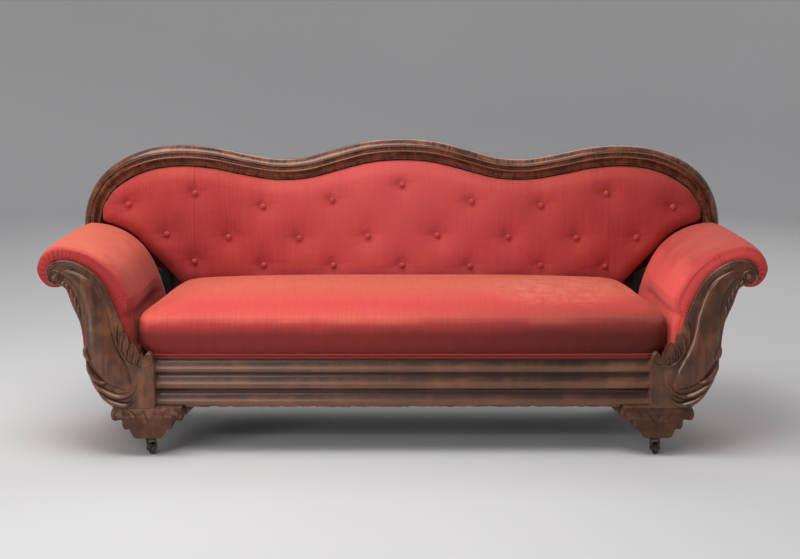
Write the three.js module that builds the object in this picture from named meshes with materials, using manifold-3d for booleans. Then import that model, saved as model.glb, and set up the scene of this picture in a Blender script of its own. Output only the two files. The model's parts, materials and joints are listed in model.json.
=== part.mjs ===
// A mahogany scroll-arm sofa with a button-tufted back, in millimetres, +Z up.
// X runs along the seat, Y from the front to the back, and the origin lies on the floor under the middle.
import * as THREE from "three";
import { mergeVertices } from "three/addons/utils/BufferGeometryUtils.js";
import Module from "manifold-3d";

const wasm = await Module();
wasm.setup();

// Clearances
const gap = 0.3;
const cutOverrun = 5;

// Whole sofa
const overallDepth = 660;
const railHalfLength = 760;
const crestHeight = 938;
const crestPastArms = 7.7;

// Casters
const wheelRadius = 18.8;
const wheelWidth = 18;
const wheelSides = 24;
const treadWidth = 10;
const treadEdge = 2;
const hubRadius = 8;
const axleRadius = 3;
const axleHeadRadius = 5;
const axleHeadLength = 1.5;
const cheekGap = 1;
const cheekThickness = 4.5;
const cheekFootRadius = 7;
const wheelToCrown = 4.4;
const crownThickness = 5;
const crownRadius = 15;
const neckHeight = 9.4;
const neckRadius = 12;
const pinRadius = 4;
const rivetRadius = 6.5;
const rivetHeight = 2;
const plateThickness = 3;
const plateSide = 50;
const casterTrail = 12;
const roundSides = 12;
const casterTurns = { front_left: -62, front_right: -86, rear_left: 118, rear_right: 70 };

// Feet
const footHeight = 98;
const footDepth = 107;
const footHalfWidth = 112;
const footOffset = 26;
const footInset = 71.5;

// Seat frame
const railHeight = 143;
const railThickness = 36;
const railSetback = 46;
const mouldingDepth = 22;
const torusHeight = 41;
const beadHeight = 7;
const beadDepth = 12;
const braceWidth = 40;
const braceHeight = 60;
const bracePlace = 250;
const glueBlockSide = 36;
const strapWidth = 50;
const strapThickness = 2;
const dustCoverThickness = 1.5;
const dustCoverInset = 2;

// Arms
const facingThickness = 26;
const facingReach = 318;
const facingHeight = 459;
const blockDepth = 84;
const eyeRadius = 16;
const eyeProud = 4;
const armPuff = 50;
const padLining = 8;
const armPostThickness = 30;
const outsidePanelThickness = 8;

// Back
const crestWidth = 69;
const crestEndWidth = 60;
const crestThickness = 64;
const crestFootDrop = 30;
const coverThickness = 3.5;
const coverInset = 10;
const backPostThickness = 32;
const backPostWidth = 60;
const lowerRailClearance = 5;
const padSeamGap = 1.2;
const backPadEdge = 32;
const backPadCrown = 30;
const backPadRake = 30;
const backPadTuck = 56;
const armSeamGap = 4;
const backPadSideGap = 15;
const backPadSideHeight = 35;
const padColumnWidth = 39;
const cornerCut = 124;

// Tufting
const tuftDepth = 13;
const tuftSpread = 30;
const buttonRadius = 10.5;
const buttonHeight = 7;
const buttonSides = 9;
const shankSide = 4;
const shankClearance = 0.5;
const tieWidth = 12;
const tieThickness = 3;

// Seat
const seatFrontHeight = 431;
const seatRise = 66;
const seatSideDroop = 22;
const seatTaper = 62;
const seatCornerRadius = 46;
const seatClearance = 6;
const seatShoulder = 30;
const weltDiameter = 8;
const weltSides = 10;
const weltRebate = 10;
const weltToSide = 21;

// Levels, from the floor up
const casterHeight =
  2 * wheelRadius + wheelToCrown + crownThickness + gap + neckHeight + plateThickness;
const footBottom = casterHeight + gap;
const footTop = footBottom + footHeight;
const railBottom = footTop + gap;
const railTop = railBottom + railHeight;
const webbingBottom = railTop + gap;
const seatBottom = webbingBottom + strapThickness + gap;
const facingTop = railBottom + facingHeight;
const crestFoot = facingTop - crestFootDrop;
const backPadBottom = seatFrontHeight + seatRise - backPadTuck;

// Planes, from the front to the back
const frontY = -overallDepth / 2;
const facingFrontY = frontY + eyeProud;
const facingBackY = facingFrontY + facingThickness;
const blockBackY = frontY + blockDepth;
const railFaceY = frontY + railSetback;
const railFrontY = railFaceY + mouldingDepth;
const railBackY = railFrontY + railThickness;
const coverBackY = overallDepth / 2;
const coverFrontY = coverBackY - coverThickness;
const crestBackY = coverFrontY - gap;
const crestFrontY = crestBackY - crestThickness;
const armBackY = crestFrontY - gap;
const rearPostBackY = armBackY - coverThickness - gap;
const rearPostFrontY = rearPostBackY - armPostThickness;
const backPostFrontY = crestBackY - backPostThickness;
const tieFrontY = backPostFrontY - gap - tieThickness;
const backPadRearY = tieFrontY - gap;
const rearRailBackY = backPostFrontY - gap;
const rearRailFrontY = rearRailBackY - railThickness;
const backPadFrontY = backPadRearY - backPadEdge - backPadCrown - backPadRake;
const seatRearY = backPadFrontY - seatClearance;
const innerFrontY = Math.max(railBackY, blockBackY) + gap;
const blockInnerX = railHalfLength + gap;
const footX = railHalfLength + footOffset;
const crestHalfWidth = blockInnerX + facingReach + crestPastArms;
const footY = overallDepth / 2 - footInset;

// Materials
const finish = (color, roughness, metalness = 0) =>
  new THREE.MeshStandardMaterial({ color, roughness, metalness });
const mahogany = finish(0x5a342a, 0.32);
const figuredMahogany = finish(0x6e4030, 0.3);
const frameWood = finish(0x9c7a52, 0.7);
const velvet = finish(0xb9373c, 0.9);
const seatVelvet = finish(0xc4433f, 0.9);
const backCloth = finish(0x8c2f32, 0.9);
const jute = finish(0xb59b6c, 0.95);
const cambric = finish(0x2b2826, 0.95);
const brass = finish(0x6a5a3c, 0.45, 0.9);
const iron = finish(0x2e2b29, 0.55, 0.8);

// Solids and geometries
function solidOf(geometry) {
  const bare = geometry.clone();
  bare.deleteAttribute("normal");
  bare.deleteAttribute("uv");
  const merged = mergeVertices(bare, 1e-4);
  return new wasm.Manifold(
    new wasm.Mesh({
      numProp: 3,
      vertProperties: merged.attributes.position.array,
      triVerts: new Uint32Array(merged.index.array),
    }),
  );
}

function geometryOf(solid) {
  const mesh = solid.getMesh();
  const geometry = new THREE.BufferGeometry();
  geometry.setAttribute("position", new THREE.BufferAttribute(mesh.vertProperties, 3));
  geometry.setIndex(new THREE.BufferAttribute(mesh.triVerts, 1));
  geometry.computeVertexNormals();
  return geometry;
}

const joined = (...geometries) =>
  geometryOf(geometries.map(solidOf).reduce((whole, piece) => whole.add(piece)));

function box(x, y, z) {
  const size = (span) => span[1] - span[0];
  const middle = (span) => (span[0] + span[1]) / 2;
  const geometry = new THREE.BoxGeometry(size(x), size(y), size(z));
  return geometry.translate(middle(x), middle(y), middle(z));
}

// Extrudes an outline of X and Z along Y.
function extrudedAlongY(shape, fromY, toY, curveSegments = 3) {
  const depth = toY - fromY;
  const geometry = new THREE.ExtrudeGeometry(shape, { depth, bevelEnabled: false, curveSegments });
  return geometry.rotateX(Math.PI / 2).translate(0, toY, 0);
}

// Extrudes an outline of Y and Z along X.
function extrudedAlongX(shape, halfLength, curveSegments = 6) {
  const depth = 2 * halfLength;
  const geometry = new THREE.ExtrudeGeometry(shape, { depth, bevelEnabled: false, curveSegments });
  const turn = new THREE.Matrix4().makeBasis(
    new THREE.Vector3(0, 1, 0),
    new THREE.Vector3(0, 0, 1),
    new THREE.Vector3(1, 0, 0),
  );
  return geometry.applyMatrix4(turn).translate(-halfLength, 0, 0);
}

const outline = (points) => new THREE.Shape(points.map(([a, b]) => new THREE.Vector2(a, b)));

// Joins rings of equal point counts into one closed body, with a flat lid on each end.
function lofted(rings, lidAxes) {
  const count = rings[0].length;
  const positions = rings.flat().flatMap((p) => [p.x, p.y, p.z]);
  const faces = [];
  for (let k = 0; k + 1 < rings.length; k++) {
    for (let i = 0; i < count; i++) {
      const a = k * count + i;
      const b = k * count + ((i + 1) % count);
      faces.push(a, b, b + count, a, b + count, a + count);
    }
  }
  const lid = (ring) =>
    THREE.ShapeUtils.triangulateShape(
      ring.map((p) => new THREE.Vector2(p[lidAxes[0]], p[lidAxes[1]])),
      [],
    );
  const area = THREE.ShapeUtils.area(
    rings[0].map((p) => new THREE.Vector2(p[lidAxes[0]], p[lidAxes[1]])),
  );
  const last = (rings.length - 1) * count;
  for (const [a, b, c] of lid(rings[0])) faces.push(a, c, b);
  for (const [a, b, c] of lid(rings[rings.length - 1])) faces.push(last + a, last + b, last + c);
  const geometry = new THREE.BufferGeometry();
  geometry.setAttribute("position", new THREE.Float32BufferAttribute(positions, 3));
  geometry.setIndex(area < 0 ? flippedLids(faces, rings, count) : faces);
  return outward(geometry);
}

// Turns the lids of a loft whose rings run clockwise, so that they match its walls.
function flippedLids(faces, rings, count) {
  const walls = (rings.length - 1) * count * 6;
  const turned = faces.slice(0, walls);
  for (let i = walls; i < faces.length; i += 3) turned.push(faces[i], faces[i + 2], faces[i + 1]);
  return turned;
}

// Makes the faces of a closed body point out.
function outward(geometry) {
  const p = geometry.attributes.position;
  const index = Array.from(geometry.index.array);
  const at = (i) => new THREE.Vector3().fromBufferAttribute(p, i);
  let volume = 0;
  for (let i = 0; i < index.length; i += 3) {
    volume += at(index[i]).dot(at(index[i + 1]).cross(at(index[i + 2])));
  }
  if (volume < 0) {
    for (let i = 0; i < index.length; i += 3) {
      [index[i + 1], index[i + 2]] = [index[i + 2], index[i + 1]];
    }
  }
  geometry.setIndex(index);
  geometry.computeVertexNormals();
  return geometry;
}

// Casters, drawn about the swivel axis with the wheel trailing along +X
const wheelFlatToCorner = wheelRadius / Math.cos(Math.PI / wheelSides);
const forkInner = wheelWidth / 2 + cheekGap;
const forkOuter = forkInner + cheekThickness;
const crownBottom = 2 * wheelRadius + wheelToCrown;
const crownTop = crownBottom + crownThickness;

const lathed = (points, sides) =>
  new THREE.LatheGeometry(points.map(([r, h]) => new THREE.Vector2(r, h)), sides);

function casterPlate() {
  const neckBottom = crownTop + gap;
  const plateBottom = neckBottom + neckHeight;
  const rivetTop = crownBottom - gap;
  const half = plateSide / 2;
  const pin = lathed(
    [
      [0, rivetTop - rivetHeight],
      [rivetRadius, rivetTop - rivetHeight],
      [rivetRadius, rivetTop],
      [pinRadius, rivetTop],
      [pinRadius, neckBottom],
      [neckRadius, neckBottom],
      [neckRadius, plateBottom + plateThickness / 2],
      [0, plateBottom + plateThickness / 2],
    ],
    roundSides,
  ).rotateX(Math.PI / 2);
  const plate = box([-half, half], [-half, half], [plateBottom, plateBottom + plateThickness]);
  return joined(plate, pin);
}

function casterFork() {
  const crown = new THREE.CylinderGeometry(crownRadius, crownRadius, crownThickness, roundSides)
    .rotateX(Math.PI / 2)
    .translate(0, 0, crownTop - crownThickness / 2);
  const cheek = new THREE.Shape();
  cheek.moveTo(-crownRadius / 2, crownTop);
  cheek.lineTo(casterTrail - cheekFootRadius, wheelRadius);
  cheek.absarc(casterTrail, wheelRadius, cheekFootRadius, Math.PI, 2 * Math.PI, false);
  cheek.lineTo(crownRadius, crownTop);
  let fork = solidOf(crown);
  const bore = pinRadius + gap;
  const axleBore = axleRadius + gap;
  for (const fromY of [-forkOuter, forkInner]) {
    fork = fork.add(solidOf(extrudedAlongY(cheek, fromY, fromY + cheekThickness, 4)));
  }
  const bridge = box(
    [-crownRadius / 2, crownRadius],
    [-forkOuter, forkOuter],
    [crownBottom, crownTop],
  );
  fork = fork.add(solidOf(bridge));
  const pinCut = crownThickness + 2 * cutOverrun;
  const pinHole = new THREE.CylinderGeometry(bore, bore, pinCut, roundSides)
    .rotateX(Math.PI / 2)
    .translate(0, 0, crownTop - crownThickness / 2);
  const axleHole = new THREE.CylinderGeometry(
    axleBore,
    axleBore,
    2 * (forkOuter + cutOverrun),
    roundSides,
  ).translate(casterTrail, 0, wheelRadius);
  return geometryOf(fork.subtract(solidOf(pinHole)).subtract(solidOf(axleHole)));
}

function casterWheel() {
  const half = wheelWidth / 2;
  const bore = axleRadius + gap;
  const profile = [
    [bore, -half],
    [hubRadius, -half],
    [wheelFlatToCorner - treadEdge, -treadWidth / 2 - treadEdge],
    [wheelFlatToCorner, -treadWidth / 2],
    [wheelFlatToCorner, treadWidth / 2],
    [wheelFlatToCorner - treadEdge, treadWidth / 2 + treadEdge],
    [hubRadius, half],
    [bore, half],
    [bore, -half],
  ];
  // Half a side's turn lays a flat of the tread on the floor.
  const wheel = lathed(profile, wheelSides).rotateY(Math.PI / wheelSides);
  return wheel.translate(casterTrail, 0, wheelRadius);
}

function casterAxle() {
  const end = forkOuter + gap;
  const head = end + axleHeadLength;
  const profile = [
    [0, -head],
    [axleHeadRadius, -head],
    [axleHeadRadius, -end],
    [axleRadius, -end],
    [axleRadius, end],
    [axleHeadRadius, end],
    [axleHeadRadius, head],
    [0, head],
  ];
  return lathed(profile, roundSides).translate(casterTrail, 0, wheelRadius);
}

// Foot: a scrolled bracket, given as half widths and heights from its foot to its top
const footProfileShares = [
  [0.32, 0],
  [0.4, 0.07],
  [0.47, 0.19],
  [0.51, 0.31],
  [0.57, 0.29],
  [0.64, 0.31],
  [0.69, 0.4],
  [0.7, 0.56],
  [0.8, 0.56],
  [0.88, 0.53],
  [0.96, 0.57],
  [1, 0.67],
  [1, 0.8],
  [0.97, 0.92],
  [0.91, 1],
];

function foot() {
  const side = footProfileShares.map(([x, z]) => [x * footHalfWidth, footBottom + z * footHeight]);
  const mirrored = side.map(([x, z]) => [-x, z]).reverse();
  return extrudedAlongY(outline([...side, ...mirrored]), -footDepth / 2, footDepth / 2);
}

// A triangular block glued under the rail against the foot's inner side
function glueBlock() {
  const side = footHalfWidth + gap;
  const points = [
    [-side, footTop],
    [-side - glueBlockSide, footTop],
    [-side, footTop - glueBlockSide],
  ];
  return extrudedAlongY(outline(points), -railThickness / 2, railThickness / 2);
}

// Front rail, with a torus moulding above a double ogee
function torusMoulding() {
  const bottom = railTop - torusHeight;
  const shape = new THREE.Shape();
  const back = railFrontY - gap;
  const step = mouldingDepth / 4;
  shape.moveTo(back, bottom);
  shape.lineTo(railFaceY + step, bottom);
  shape.bezierCurveTo(
    railFaceY - step / 2,
    bottom,
    railFaceY - step / 2,
    railTop,
    railFaceY + 2 * step,
    railTop,
  );
  shape.lineTo(back, railTop);
  return extrudedAlongX(shape, railHalfLength);
}

// Depths in shares of the moulding's depth, heights in shares of the space under the torus
const ogeeProfileShares = [
  [0.42, 1],
  [0.5, 0.96],
  [0.5, 0.88],
  [0.1, 0.84],
  [0, 0.72],
  [0.1, 0.6],
  [0.4, 0.5],
  [0.45, 0.43],
  [0.35, 0.35],
  [0.08, 0.26],
  [0, 0.16],
  [0.1, 0.05],
  [0.4, 0],
];

function ogeeMoulding() {
  const height = railHeight - torusHeight - gap;
  const back = railFrontY - gap;
  const face = ogeeProfileShares.map(([y, z]) => [
    railFaceY + y * mouldingDepth,
    railBottom + z * height,
  ]);
  const points = [[back, railBottom + height], ...face, [back, railBottom]];
  return extrudedAlongX(outline(points), railHalfLength);
}

function railBead() {
  const half = footX - footHalfWidth - gap;
  const front = railFaceY + mouldingDepth / 3;
  return box([-half, half], [front, front + beadDepth], [
    railBottom - gap - beadHeight,
    railBottom - gap,
  ]);
}

// Arm facing: shares of its reach beyond the block's inner face and of its height above the foot
const scrollEdgeShares = [
  [0.323, 0.603],
  [0.352, 0.671],
  [0.4, 0.755],
  [0.487, 0.867],
  [0.619, 0.95],
  [0.769, 0.996],
  [0.9, 0.995],
  [0.978, 0.962],
  [1, 0.91],
  [0.968, 0.855],
  [0.91, 0.841],
  [0.868, 0.856],
];
const outerEdgeShares = [
  [0.838, 0.828],
  [0.789, 0.778],
  [0.748, 0.69],
  [0.69, 0.6],
  [0.662, 0.5],
  [0.654, 0.42],
  [0.645, 0.35],
  [0.629, 0.272],
  [0.6, 0.19],
  [0.55, 0.12],
  [0.483, 0.06],
  [0.395, 0],
];
// Each lobe of the leaf on the inner edge: where its curve is pulled to, and where it ends
const leafLobeShares = [
  [0.12, 0.4, 0.125, 0.35],
  [0.14, 0.41, 0.185, 0.437],
  [0.19, 0.45, 0.232, 0.431],
  [0.225, 0.5, 0.283, 0.514],
  [0.28, 0.565, 0.323, 0.603],
];
const leafScrollShares = [0.045, 0.385];
const eyeCentreShares = [0.915, 0.884];
const rollCentreShares = [0.87, 0.922];
const rollRadiusShare = 0.0435;
const lowerArmShares = [
  [0.27, 0.314],
  [0.285, 0.48],
];

const armPoint = ([x, z]) =>
  new THREE.Vector2(blockInnerX + x * facingReach, railBottom + z * facingHeight);

const scrollEdge = new THREE.SplineCurve([...lowerArmShares, ...scrollEdgeShares].map(armPoint));
const outerEdge = new THREE.SplineCurve(outerEdgeShares.map(armPoint));

// The value at a place in a table of places and values
function between(table, place) {
  const next = Math.max(1, table.findIndex(([start], i) => i > 0 && start >= place));
  const [start, low] = table[next - 1];
  const [end, high] = table[next];
  return THREE.MathUtils.lerp(low, high, THREE.MathUtils.smoothstep(place, start, end));
}

const outerEdgeSteps = 20;

// Points along an edge, pushed to its left by a distance that may change along it
function offsetEdge(edge, steps, distance) {
  return Array.from({ length: steps + 1 }, (_, i) => {
    const along = i / steps;
    const point = edge.getPoint(along);
    const tangent = edge.getTangent(along);
    const push = typeof distance === "function" ? distance(along) : distance;
    return [point.x - tangent.y * push, point.y + tangent.x * push];
  });
}

function facingOutline() {
  const shape = new THREE.Shape();
  const leafFoot = armPoint([0, leafScrollShares[1] - leafScrollShares[0]]);
  shape.moveTo(blockInnerX, railBottom);
  shape.lineTo(leafFoot.x, leafFoot.y);
  const scrollTop = armPoint(leafScrollShares);
  const scrollEnd = armPoint([leafScrollShares[0] * 2, leafScrollShares[1] - leafScrollShares[0]]);
  shape.quadraticCurveTo(leafFoot.x, scrollTop.y, scrollTop.x, scrollTop.y);
  shape.quadraticCurveTo(scrollEnd.x, scrollTop.y, scrollEnd.x, scrollEnd.y);
  for (const [pullX, pullZ, endX, endZ] of leafLobeShares) {
    const pull = armPoint([pullX, pullZ]);
    const end = armPoint([endX, endZ]);
    shape.quadraticCurveTo(pull.x, pull.y, end.x, end.y);
  }
  shape.splineThru(scrollEdgeShares.slice(1).map(armPoint));
  for (const [x, z] of offsetEdge(outerEdge, outerEdgeSteps, 0)) shape.lineTo(x, z);
  return shape;
}

function armFacing() {
  const shape = facingOutline();
  const board = solidOf(extrudedAlongY(shape, facingFrontY, facingBackY, 2));
  const post = solidOf(extrudedAlongY(shape, facingFrontY, blockBackY, 2));
  const reach = blockInnerX + facingReach;
  const belowSeat = solidOf(
    box([0, 2 * reach], [2 * frontY, 0], [railBottom - cutOverrun, railTop]),
  );
  const centre = armPoint(eyeCentreShares);
  const eye = new THREE.CylinderGeometry(
    eyeRadius - eyeProud,
    eyeRadius,
    eyeProud + facingThickness / 2,
    roundSides,
  )
    .rotateX(Math.PI)
    .translate(centre.x, frontY + (eyeProud + facingThickness / 2) / 2, centre.y);
  return geometryOf(board.add(post.intersect(belowSeat)).add(solidOf(eye)));
}

// Arm padding: how far it stands out from the scroll edge, in shares of the puff along that edge
const puffShares = [
  [0, 0.8],
  [0.12, 1],
  [0.3, 1],
  [0.54, 0.82],
  [0.77, 0.7],
  [0.85, 0.4],
  [0.93, 0.15],
  [1, 0.08],
];
const puffShare = (along) => between(puffShares, along);

// Stations along the arm: place between its two ends, and how full the padding is there
const armFullnessShares = [
  [0, 0.15],
  [0.008, 0.5],
  [0.03, 0.78],
  [0.07, 0.93],
  [0.14, 1],
  [0.5, 1.02],
  [0.86, 1],
  [0.95, 0.95],
  [1, 0.8],
];
const endTuckShare = 0.1;
const panelTipShare = 0.4;
const armOuterSteps = 26;
const armInnerSteps = 18;
const armFrontY = facingBackY + gap;
const fullArmEdge = offsetEdge(scrollEdge, 2 * armOuterSteps, (along) => armPuff * puffShare(along));
const armInnerX = Math.min(...fullArmEdge.map(([x]) => x));
const sideRailOuterX = armInnerX + railThickness;

function armPad() {
  const bottom = railTop + gap;
  const lining = offsetEdge(scrollEdge, armInnerSteps, -padLining).reverse();
  const rings = armFullnessShares.map(([along, fullness]) => {
    const y = armFrontY + along * (armBackY - armFrontY);
    const cover = offsetEdge(scrollEdge, armOuterSteps, (s) => armPuff * puffShare(s) * fullness);
    return [...cover, ...lining].map(([x, z]) => new THREE.Vector3(x, y, Math.max(z, bottom)));
  });
  for (const ring of rings) {
    ring[0].z = bottom;
    ring[ring.length - 1].z = bottom;
  }
  return lofted(rings, ["x", "z"]);
}

// Section of the arm's frame between its lining and its outer edge, which may be pushed out
function armPostOutline(push = 0) {
  const inner = offsetEdge(scrollEdge, armInnerSteps, -padLining - gap);
  const outer = offsetEdge(outerEdge, outerEdgeSteps, push).map(([x, z]) => [
    x,
    Math.max(z, railBottom),
  ]);
  inner[0][1] = railTop;
  return outline([[armInnerX, railBottom], [armInnerX, railTop], ...inner, ...outer]);
}

function armPost(fromY, bottom) {
  const whole = solidOf(extrudedAlongY(armPostOutline(), fromY, fromY + armPostThickness));
  const reach = blockInnerX + facingReach;
  const above = box([0, 2 * reach], [2 * frontY, 2 * coverBackY], [bottom, 2 * facingTop]);
  return geometryOf(whole.intersect(solidOf(above)));
}

function armRollRail() {
  const centre = armPoint(rollCentreShares);
  const radius = rollRadiusShare * facingHeight;
  const fromY = armFrontY + armPostThickness + gap;
  const toY = rearPostFrontY - gap;
  return new THREE.CylinderGeometry(radius, radius, toY - fromY, roundSides).translate(
    centre.x,
    (fromY + toY) / 2,
    centre.y,
  );
}

// Padded cloth over the outside of the arm, turned in over its rear end
function armOutside() {
  const near = offsetEdge(outerEdge, outerEdgeSteps, gap);
  const taper = (along) => THREE.MathUtils.smoothstep(along, 0, endTuckShare);
  const depth = (along) => outsidePanelThickness * THREE.MathUtils.lerp(panelTipShare, 1, taper(along));
  const far = offsetEdge(outerEdge, outerEdgeSteps, (along) => gap + depth(along)).reverse();
  const points = [...near, ...far].map(([x, z]) => [x, Math.max(z, railBottom)]);
  const side = extrudedAlongY(outline(points), armFrontY, armBackY);
  const overlap = gap + outsidePanelThickness / 2;
  const end = armPostOutline((along) => overlap * taper(along));
  return joined(side, extrudedAlongY(end, armBackY - coverThickness, armBackY));
}

// Crest: half of its top edge in shares of its half width and of its rise above its foot
const crestEdgeShares = [
  [0, 1],
  [0.11, 0.974],
  [0.213, 0.895],
  [0.3, 0.824],
  [0.385, 0.808],
  [0.485, 0.855],
  [0.587, 0.919],
  [0.69, 0.94],
  [0.79, 0.905],
  [0.872, 0.808],
  [0.938, 0.652],
  [0.978, 0.46],
  [0.996, 0.256],
  [1, 0],
];
const crestValleyShare = 0.385;
// Depth from the front, then width from the outer edge, in shares of the crest's own section
const crestProfileShares = [
  [1, 0],
  [0.34, 0],
  [0.14, 0.09],
  [0.03, 0.2],
  [0, 0.3],
  [0.08, 0.38],
  [0.07, 0.47],
  [0, 0.55],
  [0.06, 0.64],
  [0.2, 0.84],
  [0.18, 0.93],
  [0.26, 1],
  [1, 1],
];
const crestCentreSteps = 24;
const crestSideSteps = 28;
const crestDivisions = 600;
const shareTolerance = 1e-7;
const insideCrestSteps = 240;

const crestKnots = [
  ...crestEdgeShares.slice(1).map(([x, z]) => [-x, z]).reverse(),
  ...crestEdgeShares,
].map(
  ([x, z]) =>
    new THREE.Vector3(x * crestHalfWidth, 0, crestFoot + z * (crestHeight - crestFoot)),
);
const crestCurve = new THREE.CatmullRomCurve3(crestKnots, false, "centripetal");
crestCurve.arcLengthDivisions = crestDivisions;
const crestLength = crestCurve.getLength();

// The share of the curve's length at which it first passes a place along X
function crestShareAt(x) {
  let low = 0;
  let high = 1;
  while (high - low > shareTolerance) {
    const middle = (low + high) / 2;
    if (crestCurve.getPointAt(middle).x < x) low = middle;
    else high = middle;
  }
  return low;
}

// A point inside the crest's top edge: a share of its own width in, and a distance beyond that
const crestTaperShare = 0.16;
function crestPoint(along, widthShare, beyond = 0) {
  const point = crestCurve.getPointAt(along);
  const tangent = crestCurve.getTangentAt(along);
  const full = THREE.MathUtils.smoothstep(Math.min(along, 1 - along), 0, crestTaperShare);
  const inward = widthShare * THREE.MathUtils.lerp(crestEndWidth, crestWidth, full) + beyond;
  return [point.x + tangent.z * inward, point.z - tangent.x * inward];
}

function crestPiece(from, to, steps) {
  const rings = Array.from({ length: steps + 1 }, (_, k) => {
    const along = THREE.MathUtils.lerp(from, to, k / steps);
    return crestProfileShares.map(([depth, width]) => {
      const [x, z] = crestPoint(along, width);
      return new THREE.Vector3(x, crestFrontY + depth * crestThickness, z);
    });
  });
  return lofted(rings, ["y", "z"]);
}

const valley = crestShareAt(crestValleyShare * crestHalfWidth);
const halfJoint = gap / 2 / crestLength;

// The inside of the crest, which the back's padding and posts meet
const insideCrest = Array.from({ length: insideCrestSteps + 1 }, (_, i) =>
  crestPoint(i / insideCrestSteps, 1, padSeamGap),
);

// Height of a line of points at a place along X
function heightAt(line, x) {
  let best = -Infinity;
  for (let i = 0; i + 1 < line.length; i++) {
    const [x0, z0] = line[i];
    const [x1, z1] = line[i + 1];
    const share = (x - x0) / (x1 - x0);
    if (x0 !== x1 && share >= 0 && share <= 1) best = Math.max(best, z0 + share * (z1 - z0));
  }
  return best;
}

const rimSpots = 36;

// Back padding between the crest, the arms and the seat
const padRows = 11;
// The pad's lower edge runs level behind the seat, slants up to the arm, then follows the arm's top.
const armTopX = armInnerX + cornerCut / 2;
const armCrownX = fullArmEdge.reduce((a, b) => (b[1] > a[1] ? b : a))[0];
function padBottomAt(x) {
  const reach = Math.abs(x);
  const level = armTopX - cornerCut;
  const overArm = THREE.MathUtils.clamp(reach, armTopX, armCrownX);
  const armTop = heightAt(fullArmEdge, overArm) + armSeamGap;
  if (reach >= armTopX) return armTop;
  const slant = Math.max(0, (reach - level) / cornerCut);
  return THREE.MathUtils.lerp(backPadBottom, armTop, slant);
}

// The pad ends where the crest comes down to its least height over the arm.
function padHalfWidthOver(armLine) {
  let half = crestHalfWidth - crestEndWidth - backPadSideGap;
  while (heightAt(insideCrest, half) - armLine(half) < backPadSideHeight) half -= backPadSideGap / 2;
  return half;
}
const padHalfWidth = padHalfWidthOver(padBottomAt);

// Buttons in shares of the pad's half width and of the height from its foot to the crest's top
const buttonRowShares = {
  buttons_top: [
    [-0.915, 0.562],
    [-0.69, 0.643],
    [-0.463, 0.553],
    [-0.232, 0.594],
    [0, 0.698],
    [0.232, 0.585],
    [0.464, 0.56],
    [0.683, 0.64],
    [0.908, 0.545],
  ],
  buttons_middle: [
    [-0.787, 0.364],
    [-0.579, 0.345],
    [-0.343, 0.339],
    [-0.114, 0.351],
    [0.118, 0.358],
    [0.355, 0.345],
    [0.583, 0.339],
    [0.785, 0.341],
  ],
  buttons_bottom: [
    [-0.695, 0.179],
    [-0.463, 0.154],
    [-0.229, 0.153],
    [0, 0.153],
    [0.227, 0.147],
    [0.464, 0.151],
    [0.681, 0.143],
  ],
};
const buttonRows = Object.fromEntries(
  Object.entries(buttonRowShares).map(([name, row]) => [
    name,
    row.map(([x, z]) => [x * padHalfWidth, THREE.MathUtils.lerp(backPadBottom, crestHeight, z)]),
  ]),
);
const buttons = Object.values(buttonRows).flat();

const bulge = (share) => 1 - Math.abs(2 * share - 1) ** 5;

function padDepth(x, z, across, up) {
  const crown = backPadCrown * bulge(across) * bulge(up) + backPadRake * (1 - up) * bulge(across);
  const dents = buttons.map(([bx, bz]) =>
    tuftDepth * Math.exp(-((x - bx) ** 2 + (z - bz) ** 2) / (2 * tuftSpread ** 2)),
  );
  return backPadEdge + crown - Math.max(...dents) * bulge(up);
}

// Places of the pad's columns, evenly spaced between the corners of its lower edge
function padColumnPlaces() {
  const corners = [armTopX - cornerCut, armTopX].filter((x) => x < padHalfWidth);
  const stops = [...corners, padHalfWidth];
  const turns = [...stops.map((x) => -x).reverse(), ...stops];
  const places = [turns[0]];
  for (let k = 0; k + 1 < turns.length; k++) {
    const steps = Math.ceil((turns[k + 1] - turns[k]) / padColumnWidth);
    for (let i = 1; i <= steps; i++) {
      places.push(THREE.MathUtils.lerp(turns[k], turns[k + 1], i / steps));
    }
  }
  return places;
}

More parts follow.
